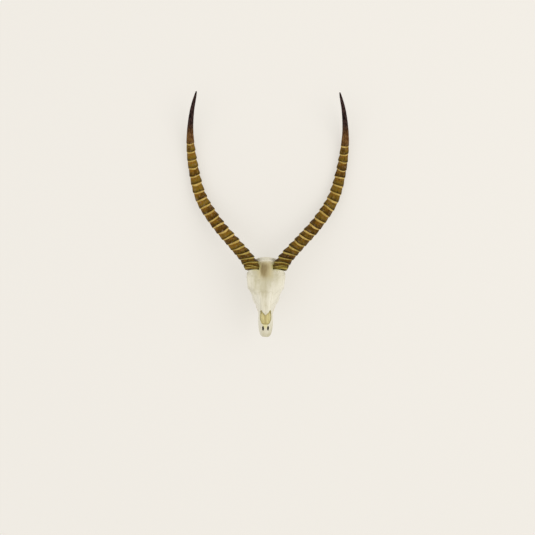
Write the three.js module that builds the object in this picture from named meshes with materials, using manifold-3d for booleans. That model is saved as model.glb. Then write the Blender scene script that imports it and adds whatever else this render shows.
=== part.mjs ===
// A red lechwe's skull with its two horns and its upper cheek teeth, at about a fifth of life size.
// It has no lower jaw. It lies face up, on the backs of its horns and on the two bony prongs that
// stand beside the neck's joint.
//
// The skull is laid out in its own axes, in millimetres: X to its side, Y from the tip of the snout
// back along the face, Z out of the forehead. The last lines turn all of it about X, so that what it
// rests on comes down on Z = 0.
import * as THREE from "three";
import { mergeVertices } from "three/addons/utils/BufferGeometryUtils.js";
import Module from "manifold-3d";

const wasm = await Module();
wasm.setup();

// How it lies: the snout is lifted by this angle, and the origin is under the middle of its box.
const REST_TILT_DEG = 6.7;
const REST_BACK = -80.04;
const REST_LIFT = 31.72;

const MERGE_MM = 1e-4;
const SOCKET_GAP = 0.25;
const SEAT_GAP = 0.3;

// Lines of the face, each as [y, value] stops. The face runs from the snout's tip to the eyes.
const FACE_STATIONS = [0, 0.6, 2, 4.5, 8, 12, 15.5, 18, 20.5, 23, 26, 28.5, 31, 33.5, 35.5];
const FACE_SIDES = 18;
const FACE_TOP = [[0, -0.3], [1.5, 0.5], [5, 1.1], [12, 2.1], [20, 2.5], [28, 2.2], [34, 2.2]];
const FACE_RIDGE = [[0, 1.2], [4, 2.5], [12, 2.8], [20, 3.0], [28, 4.6], [34, 7.2]];
const FACE_SIDE = [
  [0, 2.1], [1.2, 3.3], [4, 4.25], [8, 4.95], [13, 5.0], [17.5, 4.7], [21, 6.3], [24, 8.4], [28, 9.0],
  [31, 9.0], [33.5, 8.0], [35.5, 6.5],
];
const FACE_SIDE_HEIGHT = [[0, -0.9], [8, -2.8], [14, -5.2], [18, -8.0], [24, -9.6], [28, -9.4], [34, -6]];
const FACE_BOTTOM = [
  [0, -1.5], [1.5, -2.4], [6, -5.0], [12, -7.6], [16, -10.2], [22, -13.2], [28.5, -16.1], [31, -15.4],
  [33.5, -12.8], [35.5, -9.6],
];
const FACE_PALATE = [
  [0, 1.2], [4, 3.2], [12, 3.4], [16, 4.3], [22, 5.9], [28.5, 7.1], [31, 6.2], [35.5, 3],
];

// Lines of the roof of the skull, from the brow to the crown between the horns.
const ROOF_STATIONS = [27, 30, 33, 36.5, 40, 43, 46, 48.5, 50.8];
const ROOF_SIDES = 16;
const ROOF_TOP = [[27, 1.9], [33, 2.2], [40, 2.7], [46, 2.5], [49, 1.4], [50.8, -0.8]];
const ROOF_HALF = [
  [27, 3.6], [30, 7.6], [33, 10.9], [36.5, 12.3], [40, 12.5], [43, 10.9], [48, 6.4], [50.8, 3.6],
];
const ROOF_BOTTOM = [[27, 0.9], [30, -0.8], [33, -1.6], [40, -2.8], [46, -5], [50.8, -6]];

// The flat of the face falls this far from its middle to its edges, the palate's and the roof's less.
const FACE_FALL = 0.35;
const PALATE_RISE = 0.25;
const ROOF_DIP = 0.15;

// The rim of the eye socket: its middle, the radius of its line, its thickness and its turn outwards.
const EYE_RIM = { at: [11.2, 37.1, -3.5], radius: 4.8, thickness: 0.95, turn: 4.5, sides: 6, steps: 14 };

// Rounded masses and hollows: middle, half sizes, pitch about X in degrees, and sides.
const BRAINCASE = { at: [0, 45.0, -8.8], radii: [7.3, 7.2, 8.6], pitch: 0, sides: 16 };
const BACK_OF_HEAD = { at: [0, 48.4, -12.2], radii: [7.3, 2.4, 7.2], pitch: -24.8, sides: 14 };
const EAR_DRUM = { at: [4.2, 43.4, -18.6], radii: [1.9, 2.8, 2.5], pitch: -25, sides: 12 };
const NECK_JOINT = { at: [2.55, 47.9, -18.2], radii: [2.2, 2.3, 2.7], pitch: -25, sides: 12 };
const EYE_SOCKET = { at: [12.0, 37.2, -3.6], radii: [5.2, 4.35, 4.3], pitch: 0, sides: 14 };
const EYE_SOCKET_END = { at: [7.6, 38.2, -4.6], radii: [3.2, 3.2, 3.0], pitch: 0, sides: 10 };
const CHEEK_NERVE_HOLE = { at: [4.9, 15.8, -5.9], radii: [0.7, 1.1, 0.6], pitch: -30, sides: 6 };
const NOSE_HOLLOW = { at: [0, 16.2, -3.0], radii: [3.2, 6.2, 3.6], pitch: -18, sides: 14 };
const NOSE_SLIT = { at: [1.6, 6.3, 0.6], radii: [0.6, 1.75, 2.6], pitch: 0, sides: 8 };

// Bars of bone and long hollows: stops of x, y, z, radius across and, where it differs, upwards.
const BETWEEN_EYES = {
  stops: [[0, 28, -7, 4.4, 6.5], [0, 36, -6.4, 4.0, 5.8], [0, 43, -8.5, 5.0, 6.5]],
  sides: 10, steps: 4,
};
const CREST = {
  stops: [
    [-7.2, 48.4, -12, 0.7], [-5.9, 50.9, -8, 0.8], [0, 51.7, -5.9, 0.9], [5.9, 50.9, -8, 0.8],
    [7.2, 48.4, -12, 0.7],
  ],
  upwards: [0, 1, 0], sides: 6, steps: 8,
};
const SKULL_BASE = {
  stops: [[0, 47.6, -18.8, 3.2, 1.8], [0, 41, -17.2, 2.4, 1.4], [0, 32, -12.6, 1.8, 1.4]],
  sides: 8, steps: 4,
};
const CHEEKBONE = {
  stops: [
    [4.6, 20.5, -8.4, 1.0, 1.4], [7.4, 27.2, -9.4, 1.3, 2.4], [10.0, 32, -9.2, 1.1, 2.1],
    [11.0, 36, -9.4, 1.0, 1.7], [11.2, 40, -10.2, 0.85, 1.4], [10.2, 44.3, -12.4, 0.9, 1.4],
    [7.6, 47.4, -14.6, 1.4, 1.6], [5.6, 48.2, -15.0, 1.4, 1.6],
  ],
  sides: 6, steps: 11,
};
const BEHIND_EYE = {
  stops: [[9.2, 41.9, 0.4, 1.6], [10.7, 42.0, -4, 1.0, 1.2], [11.1, 41.4, -9.8, 1.0, 1.3]],
  sides: 8, steps: 4,
};
const HORN_SEAT = {
  stops: [[6.6, 35.5, -1.6, 2.4], [7.6, 39.5, -1.2, 3.6], [8.1, 43.95, -0.95, 3.2]],
  sides: 12, steps: 3,
};
const PRONG = {
  stops: [
    [5.9, 48.0, -15.5, 1.9, 1.5], [6.2, 46.6, -19.6, 1.3, 1.3], [6.0, 44.9, -24.2, 1.0, 0.8],
    [5.9, 44.2, -26.6, 0.8, 0.6],
  ],
  upwards: [1, 0, 0], sides: 6, steps: 5,
};
const EAR_TUBE = { stops: [[6.0, 45.6, -15.6, 1.2], [8.0, 46.0, -16.4, 1.0]], sides: 8, steps: 2 };
const PALATE_WING = {
  stops: [[2.9, 28, -14.2, 0.6, 1.8], [2.8, 33, -14.2, 0.5, 2.2], [2.5, 38, -15.6, 0.45, 1.6]],
  sides: 6, steps: 4,
};
const PALATE_VAULT = {
  stops: [
    [0, 7, -6.4, 1.7, 0.9], [0, 14, -9.3, 2.4, 1.1], [0, 20, -12.4, 2.9, 1.5], [0, 29.5, -17.1, 4.2, 1.9],
    [0, 33, -18.4, 4.6, 2],
  ],
  sides: 8, steps: 6,
};
const THROAT = {
  stops: [[0, 29.5, -12.2, 1.7, 1.2], [0, 34, -14.0, 2.0, 2.0], [0, 39, -18.2, 2.1, 2.4]],
  sides: 8, steps: 3,
};
const CORD_HOLE = { stops: [[0, 52, -18.2, 1.75], [0, 44, -14.5, 1.75]], sides: 12, steps: 1 };

// The opening of the nose, from above the face: where its front edge, its widest stretch, its back
// corners and the point of the nose bones are, on the +X side, and how its floor slopes.
const NOSE_FRONT = [1.6, 8.3];
const NOSE_WIDE = [3.6, 14.5];
const NOSE_CORNER = [3.2, 18.0];
const NOSE_NOTCH = [1.9, 16.4];
const NOSE_POINT = [0, 14.4];
const NOSE_FLOOR_Z = -3.2;
const NOSE_FLOOR_SLOPE_DEG = -16;
const NOSE_OPENING_DEPTH = 9;

// The horn's centreline, from its seat on the skull to its tip.
const HORN_LINE = [
  [9.3, 44.3, -1.0], [9.6, 46.9, -1.6], [12.6, 51.8, -2.8], [20.9, 61.1, -6.2], [34.4, 76.7, -12.0],
  [44.0, 92.3, -15.4], [49.4, 113.1, -15.2], [51.1, 131.3, -9.8], [49.6, 147.0, -1.4], [46.0, 160.2, 8.2],
];
// Its radius, as [share of its length, radius].
const HORN_RADIUS = [
  [0, 4.55], [0.028, 4.75], [0.07, 4.25], [0.2, 4.05], [0.38, 3.98], [0.5, 3.62], [0.6, 3.25], [0.7, 2.72],
  [0.82, 1.88], [0.92, 1.27], [0.97, 0.85], [1, 0.4],
];
const HORN_DEPTH_TO_WIDTH = 1.04;
const HORN_SIDES = 12;
const HORN_TIP_STEPS = 7;
// Its rings are RING_STEP apart, and closer by the share RING_CROWDING at the skull, which wears off
// over RING_CROWDED rings. A ring's crest is this share of the way along it, and the last few are low.
const RING_COUNT = 21;
const RING_STEP = 5.3;
const RING_CROWDING = 0.695;
const RING_CROWDED = 2.2;
const RING_CREST_AT = 0.17;
const RING_RELIEF = [0.85, 0.6];
const RINGS_LOW = 3;
// The rings lean: how far towards the tip a ring lies at the front of the horn, and at the side that
// faces the other horn, as [distance from the base, shift]. Across from there it lies the other way.
const RING_FRONT_SHIFT = [[0, 0], [2, -0.5], [11, -1.6], [30, -1.35], [52, -0.95], [73, -0.5], [90, 0]];
const RING_INNER_SHIFT = [
  [0, 0], [2, -0.7], [5, -1.95], [11, -2.7], [20, -1.85], [33, -1.35], [43, -0.4], [50, 0], [80, 0.2],
  [125, 0.2], [140, 0],
];
// How strongly a ring stands out: everywhere, more towards the front, and more towards the other horn.
const RING_SHARE = { all: 0.72, front: 0.28, inner: 0.2 };
// The two horns aren't quite alike: how much further out each one leans, as a share. The animal's
// left side is on +X, where the key is 1.
const HORN_LEAN = { 1: 1.008, [-1]: 0.992 };
// The room for the horn's foot: its radius, and where it is measured, from its seat.
const HORN_ROOM_RADIUS = 5.6;
const HORN_ROOM_AT = [-SEAT_GAP, 4, 9, 14];

// Upper cheek teeth from the front: name, length along the row, width, and number of lobes.
const TEETH = [
  { name: "premolar_2", length: 1.7, width: 1.5, lobes: 1 },
  { name: "premolar_3", length: 2.0, width: 1.8, lobes: 1 },
  { name: "premolar_4", length: 2.0, width: 2.1, lobes: 1 },
  { name: "molar_1", length: 2.9, width: 2.4, lobes: 2 },
  { name: "molar_2", length: 3.3, width: 2.5, lobes: 2 },
  { name: "molar_3", length: 3.4, width: 2.4, lobes: 2 },
];
const TOOTH_GAP = 0.15;
const TOOTH_HEIGHT = 3.6;
const TOOTH_IN_SOCKET = 1.2;
const TROUGH_STEPS = 5;
// The outline of a lobe on its cheek side and on its tongue side: shares of its length and half width.
const LOBE_CHEEK = [[0.12, 1], [0.5, 0.8], [0.88, 0.96], [1, 0.75]];
const LOBE_TONGUE = [[0.9, 0.7], [0.5, 1], [0.1, 0.7]];
// The row's path along the jaw's edge, where the teeth come out of the bone.
const TOOTH_ROW = [[3.75, 14.6, -9.2], [4.35, 18.2, -11.2], [5.75, 23.2, -13.8], [6.1, 29.3, -16.2]];
const TOOTH_SLANT_DEG = 26;

const TABLE = { side: 400, thickness: 20 };

const material = (name, color, roughness) => (
  new THREE.MeshStandardMaterial({ name, color, roughness, metalness: 0 })
);
const BONE = material("bone", 0xd9d4bd, 0.62);
const HORN = material("horn", 0x4a3514, 0.45);
const TOOTH = material("tooth", 0xcfc39a, 0.35);

const point = (x, y, z) => new THREE.Vector3(x, y, z);
const toRadians = THREE.MathUtils.degToRad;

// The value at x on a smooth line through [x, value] stops.
function along(stops, x) {
  const last = stops.length - 1;
  if (x <= stops[0][0]) return stops[0][1];
  if (x >= stops[last][0]) return stops[last][1];
  const i = stops.findIndex((stop, n) => n < last && x < stops[n + 1][0]);
  const slope = (n) => {
    const before = stops[Math.max(n - 1, 0)];
    const after = stops[Math.min(n + 1, last)];
    return (after[1] - before[1]) / (after[0] - before[0]);
  };
  const [x0, v0] = stops[i];
  const [x1, v1] = stops[i + 1];
  const span = x1 - x0;
  const t = (x - x0) / span;
  return (
    v0 * (2 * t ** 3 - 3 * t ** 2 + 1) + span * slope(i) * (t ** 3 - 2 * t ** 2 + t) +
    v1 * (3 * t ** 2 - 2 * t ** 3) + span * slope(i + 1) * (t ** 3 - t ** 2)
  );
}

// A closed surface through rings of points. Each ring turns anticlockwise about the way they advance.
function loft(rings) {
  const sides = rings[0].length;
  const centreOf = (ring) => ring.reduce((sum, p) => sum.add(p), point(0, 0, 0)).divideScalar(sides);
  const points = [...rings.flat(), centreOf(rings[0]), centreOf(rings.at(-1))];
  const first = rings.length * sides;
  const end = (rings.length - 1) * sides;
  const faces = [];
  for (let j = 0; j < sides; j++) {
    const k = (j + 1) % sides;
    for (let r = 0; r < end; r += sides) {
      faces.push(r + j, r + k, r + sides + k, r + j, r + sides + k, r + sides + j);
    }
    faces.push(first, k, j, first + 1, end + j, end + k);
  }
  const geometry = new THREE.BufferGeometry().setFromPoints(points);
  geometry.setIndex(faces);
  return geometry;
}

// A geometry as a solid that can be joined and cut.
function solidOf(geometry) {
  const bare = geometry.clone();
  bare.deleteAttribute("normal");
  bare.deleteAttribute("uv");
  const merged = mergeVertices(bare, MERGE_MM);
  const mesh = new wasm.Mesh({
    numProp: 3,
    vertProperties: merged.attributes.position.array,
    triVerts: new Uint32Array(merged.index.array),
  });
  return new wasm.Manifold(mesh);
}

// A solid back as a geometry with flat faces.
function geometryOf(solid) {
  const mesh = solid.getMesh();
  const geometry = new THREE.BufferGeometry();
  geometry.setAttribute("position", new THREE.BufferAttribute(mesh.vertProperties, 3));
  geometry.setIndex(new THREE.BufferAttribute(mesh.triVerts, 1));
  const flat = geometry.toNonIndexed();
  flat.computeVertexNormals();
  return flat;
}

const joined = (solids) => solids.reduce((all, one) => all.add(one));
const cutBy = (solid, cutters) => cutters.reduce((rest, one) => rest.subtract(one), solid);

// The same shape on both sides of the skull: make(1) on +X, make(-1) on -X.
const bothSides = (make) => [make(1), make(-1)];

// A rounded mass, on the given side of the skull.
function ball({ at: [x, y, z], radii, pitch, sides }, side = 1) {
  const sphere = new THREE.SphereGeometry(1, sides, sides / 2);
  sphere.scale(...radii);
  sphere.rotateX(toRadians(pitch));
  sphere.translate(side * x, y, z);
  return solidOf(sphere);
}

// A bar with a round section along a curve, on the given side of the skull.
function bar({ stops, upwards = [0, 0, 1], sides, steps }, side = 1) {
  const curve = new THREE.CatmullRomCurve3(
    stops.map(([x, y, z]) => point(side * x, y, z)), false, "centripetal",
  );
  const widths = stops.map((stop, i) => [i / (stops.length - 1), stop[3]]);
  const heights = stops.map((stop, i) => [i / (stops.length - 1), stop[4] ?? stop[3]]);
  const rings = [];
  for (let i = 0; i <= steps; i++) {
    const t = i / steps;
    const middle = curve.getPoint(t);
    rings.push(ellipse(middle, curve.getTangent(t), point(...upwards), sides, (across, up) => [
      along(widths, t) * across, along(heights, t) * up,
    ]));
  }
  return solidOf(loft(rings));
}

// A ring of points about a middle, square to the way ahead. reach turns the cosine and the sine of a
// point's turn into its distances across and up, and is told which way the point looks.
function ellipse(middle, ahead, upwards, sides, reach) {
  const across = point(0, 0, 0).crossVectors(upwards, ahead).normalize();
  const up = point(0, 0, 0).crossVectors(ahead, across);
  const ring = [];
  for (let j = 0; j < sides; j++) {
    const turn = (2 * Math.PI * j) / sides;
    const cos = Math.cos(turn);
    const sin = Math.sin(turn);
    const out = across.clone().multiplyScalar(cos).addScaledVector(up, sin);
    const [width, height] = reach(cos, sin, out);
    ring.push(middle.clone().addScaledVector(across, width).addScaledVector(up, height));
  }
  return ring;
}

// A ring of the section at y through the points of its right half, from its top to its bottom.
function section(y, half, sides) {
  const left = half.slice(1, -1).reverse().map(([x, z]) => [-x, z]);
  const outline = [...half, ...left].map(([x, z]) => point(x, y, z));
  return new THREE.CatmullRomCurve3(outline, true, "centripetal").getPoints(sides).slice(0, sides);
}

// Snout, cheeks, palate and nose bridge.
function face() {
  return solidOf(loft(FACE_STATIONS.map((y) => {
    const top = along(FACE_TOP, y);
    const bottom = along(FACE_BOTTOM, y);
    const half = [
      [0, top],
      [along(FACE_RIDGE, y), top - FACE_FALL],
      [along(FACE_SIDE, y), along(FACE_SIDE_HEIGHT, y)],
      [along(FACE_PALATE, y), bottom + PALATE_RISE],
      [0, bottom],
    ];
    return section(y, half, FACE_SIDES);
  })));
}

// The broad plate of bone between the eyes and up to the crown.
function roof() {
  return solidOf(loft(ROOF_STATIONS.map((y) => {
    const top = along(ROOF_TOP, y);
    const bottom = along(ROOF_BOTTOM, y);
    const edge = along(ROOF_HALF, y);
    const half = [
      [0, top - ROOF_DIP], [edge * 0.72, top], [edge, (top + bottom) / 2], [edge * 0.7, bottom], [0, bottom],
    ];
    return section(y, half, ROOF_SIDES);
  })));
}

// The rim of the eye socket on one side.
function eyeRim(side) {
  const { at: [x, y, z], radius, thickness, turn, sides, steps } = EYE_RIM;
  const rim = new THREE.TorusGeometry(radius, thickness, sides, steps);
  rim.rotateY(Math.PI / 2);
  rim.rotateZ(toRadians(side * -turn));
  rim.translate(side * x, y, z);
  return solidOf(rim);
}

// What stands out on one side: eye rim, cheekbone, horn seat, ear bones, neck joint and prong.
function sideBones(side) {
  const bars = [CHEEKBONE, BEHIND_EYE, HORN_SEAT, PRONG, EAR_TUBE, PALATE_WING];
  const balls = [EAR_DRUM, NECK_JOINT];
  return [eyeRim(side), ...bars.map((one) => bar(one, side)), ...balls.map((one) => ball(one, side))];
}

// What is hollow on one side: the eye socket with its deep end, the nerve hole and the slit in front.
function sideHollows(side) {
  return [EYE_SOCKET, EYE_SOCKET_END, CHEEK_NERVE_HOLE, NOSE_SLIT].map((one) => ball(one, side));
}

// The opening of the nose: the nose bones end over it in a point.
function noseOpening() {
  const mirror = ([x, y]) => [-x, y];
  const between = ([x0, y0], [x1, y1]) => [Math.max(x0, x1), (y0 + y1) / 2];
  const outline = new THREE.Shape();
  outline.moveTo(...NOSE_POINT);
  outline.lineTo(...NOSE_NOTCH);
  outline.lineTo(...NOSE_CORNER);
  outline.lineTo(...NOSE_WIDE);
  outline.quadraticCurveTo(...between(NOSE_WIDE, NOSE_FRONT), ...NOSE_FRONT);
  outline.lineTo(...mirror(NOSE_FRONT));
  outline.quadraticCurveTo(...mirror(between(NOSE_WIDE, NOSE_FRONT)), ...mirror(NOSE_WIDE));
  outline.lineTo(...mirror(NOSE_CORNER));
  outline.lineTo(...mirror(NOSE_NOTCH));
  outline.closePath();
  const opening = new THREE.ExtrudeGeometry(outline, {
    depth: NOSE_OPENING_DEPTH, bevelEnabled: false, curveSegments: 4,
  });
  // It is tipped about its front edge, so that its floor follows the palate.
  const front = NOSE_FRONT[1];
  opening.translate(0, -front, NOSE_FLOOR_Z);
  opening.rotateX(toRadians(NOSE_FLOOR_SLOPE_DEG));
  opening.translate(0, front, 0);
  return solidOf(opening);
}

// The line of one tooth row, and the way the teeth point out of it.
function toothRow(side) {
  const line = new THREE.CatmullRomCurve3(TOOTH_ROW.map(([x, y, z]) => point(side * x, y, z)));
  const slant = toRadians(TOOTH_SLANT_DEG);
  const down = point(0, -Math.sin(slant), -Math.cos(slant));
  return { line, down };
}

// One crown and root, seen from its grinding end: lobes that bulge to the tongue side, fused.
function toothGeometry({ length, width, lobes }, side) {
  const outline = new THREE.Shape();
  const lobe = length / lobes;
  const half = (side * width) / 2;
  const lobeStart = (i) => i * lobe - length / 2;
  outline.moveTo(-length / 2, half * LOBE_CHEEK.at(-1)[1]);
  for (let i = 0; i < lobes; i++) {
    for (const [share, out] of LOBE_CHEEK) outline.lineTo(lobeStart(i) + lobe * share, half * out);
  }
  for (let i = lobes - 1; i >= 0; i--) {
    for (const [share, out] of LOBE_TONGUE) outline.lineTo(lobeStart(i) + lobe * share, -half * out);
  }
  outline.closePath();
  return new THREE.ExtrudeGeometry(outline, { depth: TOOTH_HEIGHT, bevelEnabled: false });
}

// Places a tooth's geometry on the row: its own X along the row, and its Z down out of the bone.
function seatTooth(mesh, row, middle) {
  const place = row.line.getPointAt(middle);
  const ahead = row.line.getTangentAt(middle);
  const out = point(0, 0, 0).crossVectors(row.down, ahead).normalize();
  const forward = point(0, 0, 0).crossVectors(out, row.down);
  mesh.quaternion.setFromRotationMatrix(new THREE.Matrix4().makeBasis(forward, out, row.down));
  mesh.position.copy(place).addScaledVector(row.down, -TOOTH_IN_SOCKET);
}

// The teeth of one side as named meshes.
function teethOf(side, sideName) {
  const row = toothRow(side);
  const rowLength = row.line.getLength();
  const meshes = [];
  let reached = TOOTH_GAP;
  for (const tooth of TEETH) {
    const mesh = new THREE.Mesh(toothGeometry(tooth, side), TOOTH);
    mesh.name = `${tooth.name}_${sideName}`;
    seatTooth(mesh, row, (reached + tooth.length / 2) / rowLength);
    reached += tooth.length + TOOTH_GAP;
    meshes.push(mesh);
  }
  return meshes;
}

// The trough of one side that the roots stand in: a little wider and deeper than the teeth.
function toothTrough(side) {
  const { line, down } = toothRow(side);
  const halfWidths = TEETH.map((tooth, i) => [i / (TEETH.length - 1), tooth.width / 2 + SOCKET_GAP]);
  const rings = [];
  for (let i = 0; i <= TROUGH_STEPS; i++) {
    const t = i / TROUGH_STEPS;
    const ahead = line.getTangentAt(t);
    const out = point(0, 0, 0).crossVectors(down, ahead).normalize();
    // It runs a little past the first and the last tooth.
    const middle = line.getPointAt(t).addScaledVector(ahead, SOCKET_GAP * (2 * t - 1));
    const half = along(halfWidths, t);
    const corner = (across, depth) => (
      middle.clone().addScaledVector(out, across).addScaledVector(down, depth)
    );
    const floor = -TOOTH_IN_SOCKET - SEAT_GAP;
    rings.push([
      corner(half, floor), corner(half, TOOTH_HEIGHT), corner(-half, TOOTH_HEIGHT), corner(-half, floor),
    ]);
  }
  return solidOf(loft(rings));
}

// Where each ring of a horn starts, from its base: they crowd together near the skull.
function ringStarts() {
  const starts = [0];
  for (let i = 0; i < RING_COUNT; i++) {
    starts.push(starts[i] + RING_STEP * (1 - RING_CROWDING * Math.exp(-i / RING_CROWDED)));
  }
  return starts;
}

// The horn's line on one side, as a curve.
function hornLine(side) {
  const lean = HORN_LEAN[side];
  const points = HORN_LINE.map(([x, y, z], i) => point(side * x * (i ? lean : 1), y, z));
  const line = new THREE.CatmullRomCurve3(points, false, "centripetal");
  line.arcLengthDivisions = 400;
  return line;
}

// One ring of points round the horn's line at t, its radius given for each outward direction.
function hornRing(line, t, radiusOf) {
  return ellipse(line.getPointAt(t), line.getTangentAt(t), point(0, 0, 1), HORN_SIDES, (cos, sin, out) => {
    const radius = radiusOf(out);
    return [radius * cos, radius * HORN_DEPTH_TO_WIDTH * sin];
  });
}

// The leaning ring that is measured at a distance from the base: each of its points is taken from the
// section of the horn that it reaches.
function leaningRing(line, length, side, at, radiusOf) {
  const ring = [];
  for (let j = 0; j < HORN_SIDES; j++) {
    const turn = (2 * Math.PI * j) / HORN_SIDES;
    const front = along(RING_FRONT_SHIFT, at) * Math.sin(turn);
    const inner = along(RING_INNER_SHIFT, at) * Math.cos(turn) * side;
    const t = Math.min(1, (at + front + inner) / length);
    ring.push(hornRing(line, t, radiusOf)[j]);
  }
  return ring;
}

// The room that the foot of a horn takes out of the bone around it.
function hornRoom(side) {
  const line = hornLine(side);
  const length = line.getLength();
  return solidOf(loft(HORN_ROOM_AT.map((at) => {
    const ring = hornRing(line, Math.max(0, at) / length, () => HORN_ROOM_RADIUS);
    const behind = line.getTangentAt(0).multiplyScalar(Math.min(0, at));
    return ring.map((p) => p.add(behind));
  })));
}

// Where the horn is measured, from its base, and how far it stands out there: each ring steps out
// towards its crest, then slopes back in towards the tip.
function hornStations(length) {
  const starts = ringStarts();
  const stations = [];
  for (let i = 0; i < RING_COUNT; i++) {
    const span = starts[i + 1] - starts[i];
    const low = Math.min(1, (RING_COUNT - i) / RINGS_LOW);
    const relief = 0.5 * low * THREE.MathUtils.lerp(...RING_RELIEF, i / RING_COUNT);
    stations.push({ at: starts[i], relief: -relief }, { at: starts[i] + RING_CREST_AT * span, relief });
  }
  const lastRing = starts[RING_COUNT];
  for (let i = 0; i <= HORN_TIP_STEPS; i++) {
    stations.push({ at: lastRing + ((length - lastRing) * i) / HORN_TIP_STEPS, relief: 0 });
  }
  return stations;
}

// A horn: a tapering curved cone with rings.
function hornGeometry(side) {
  const line = hornLine(side);
  const length = line.getLength();
  const inward = point(-side, 0, 0);
  return loft(hornStations(length).map(({ at, relief }) => {
    const t = Math.min(1, at / length);
    const radius = along(HORN_RADIUS, t);
    const share = (out) => RING_SHARE.all + RING_SHARE.front * out.z + RING_SHARE.inner * out.dot(inward);
    return leaningRing(line, length, side, at, (out) => radius + relief * share(out));
  }));
}

// The table's top, as a slab in the skull's own axes: what reaches below it is worn flat.
function tableSlab(rest) {
  const slab = new THREE.BoxGeometry(TABLE.side, TABLE.side, TABLE.thickness);
  slab.translate(0, 0, -TABLE.thickness / 2);
  slab.applyMatrix4(rest.clone().invert());
  return solidOf(slab);
}

function build() {
  const skull = new THREE.Group();
  skull.name = "red_lechwe_skull";
  skull.rotation.x = toRadians(-REST_TILT_DEG);
  skull.position.set(0, REST_BACK, REST_LIFT);
  skull.updateMatrix();
  const table = tableSlab(skull.matrix);

  const teeth = [...teethOf(1, "left"), ...teethOf(-1, "right")];
  const bones = joined([
    face(), roof(), ball(BRAINCASE), ball(BACK_OF_HEAD), bar(BETWEEN_EYES), bar(CREST), bar(SKULL_BASE),
    ...bothSides(sideBones).flat(),
  ]);
  const hollows = [
    noseOpening(), ball(NOSE_HOLLOW), bar(PALATE_VAULT), bar(THROAT), bar(CORD_HOLE),
    ...bothSides(sideHollows).flat(), ...bothSides(toothTrough), ...bothSides(hornRoom), table,
  ];
  const cranium = new THREE.Mesh(geometryOf(cutBy(bones, hollows)), BONE);
  cranium.name = "cranium";
  skull.add(cranium);

  for (const [sideName, side] of [["left", 1], ["right", -1]]) {
    const worn = solidOf(hornGeometry(side)).subtract(table);
    const horn = new THREE.Mesh(geometryOf(worn), HORN);
    horn.name = `horn_${sideName}`;
    skull.add(horn);
  }
  skull.add(...teeth);
  const whole = new THREE.Group();
  whole.add(skull);
  return whole;
}

export default build();
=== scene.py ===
"""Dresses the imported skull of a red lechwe: bone, ringed horns, cheek teeth and the scrolls in its nose.

Shapes are laid out in the skull's own axes in millimetres: X to its side, Y from the tip of the snout
back along the face, Z out of the forehead. The stand brings a finished mesh from there into the frame.
"""

import logging
import math
import random
from collections.abc import Iterable, Sequence
from dataclasses import dataclass, field
from enum import Enum
from typing import Any

import bmesh
import bpy
import numpy as np
from mathutils import Matrix, Vector, noise
from mathutils.bvhtree import BVHTree


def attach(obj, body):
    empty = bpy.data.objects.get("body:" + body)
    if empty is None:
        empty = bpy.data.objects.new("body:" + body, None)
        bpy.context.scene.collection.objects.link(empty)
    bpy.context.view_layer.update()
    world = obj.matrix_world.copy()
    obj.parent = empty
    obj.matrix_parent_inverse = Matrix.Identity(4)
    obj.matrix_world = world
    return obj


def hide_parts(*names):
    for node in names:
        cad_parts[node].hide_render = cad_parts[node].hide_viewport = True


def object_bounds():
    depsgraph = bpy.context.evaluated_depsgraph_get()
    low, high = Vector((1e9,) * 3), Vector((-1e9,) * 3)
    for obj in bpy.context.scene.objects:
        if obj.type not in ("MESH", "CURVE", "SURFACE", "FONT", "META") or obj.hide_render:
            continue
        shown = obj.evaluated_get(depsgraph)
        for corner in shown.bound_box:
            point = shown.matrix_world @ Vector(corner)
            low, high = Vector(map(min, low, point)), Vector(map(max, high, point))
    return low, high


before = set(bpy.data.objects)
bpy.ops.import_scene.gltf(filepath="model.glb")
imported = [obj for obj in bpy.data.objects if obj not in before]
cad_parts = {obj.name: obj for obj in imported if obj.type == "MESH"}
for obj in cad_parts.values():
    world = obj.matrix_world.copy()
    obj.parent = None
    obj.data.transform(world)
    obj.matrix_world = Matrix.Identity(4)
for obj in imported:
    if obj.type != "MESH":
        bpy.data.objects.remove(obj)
cad_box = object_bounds()

log = logging.getLogger("skull")

Point = tuple[float, float, float]
Colour = tuple[float, float, float, float]
Edge = tuple[float, float]
Stops = tuple[Edge, ...]
Corners = np.ndarray

MILLIMETRE = 0.001


class Side(Enum):
    """The animal's two sides. Its left side is on +X."""

    LEFT = 1
    RIGHT = -1

    @property
    def word(self) -> str:
        """The side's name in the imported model's nodes."""
        return self.name.lower()


class Slot(Enum):
    """The record's material slots."""

    BONE = "bone"
    HORN = "horn"
    TOOTH = "tooth"


def screen(red: int, green: int, blue: int) -> Colour:
    """Turns a colour as a screen shows it into the linear values that shaders take.

    Args:
        red: Its red, from 0 to 255.
        green: Its green, from 0 to 255.
        blue: Its blue, from 0 to 255.

    Returns:
        The linear colour with full cover.
    """
    linear = [((part / 255 + 0.055) / 1.055) ** 2.4 for part in (red, green, blue)]
    return (*linear, 1.0)


def along(stops: Stops, x: Corners) -> Corners:
    """Reads a smooth line through stops.

    Args:
        stops: Pairs of a place and its value, in rising order.
        x: The places to read it at.

    Returns:
        The values there.
    """
    places = np.array([stop[0] for stop in stops], float)
    values = np.array([stop[1] for stop in stops], float)
    last = len(stops) - 1
    x = np.clip(x, places[0], places[-1])
    before = np.maximum(np.arange(last + 1) - 1, 0)
    after = np.minimum(np.arange(last + 1) + 1, last)
    slopes = (values[after] - values[before]) / (places[after] - places[before])
    i = np.clip(np.searchsorted(places, x, side="right") - 1, 0, last - 1)
    span = places[i + 1] - places[i]
    t = (x - places[i]) / span
    return (
        values[i] * (2 * t**3 - 3 * t**2 + 1)
        + span * slopes[i] * (t**3 - 2 * t**2 + t)
        + values[i + 1] * (3 * t**2 - 2 * t**3)
        + span * slopes[i + 1] * (t**3 - t**2)
    )


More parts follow.
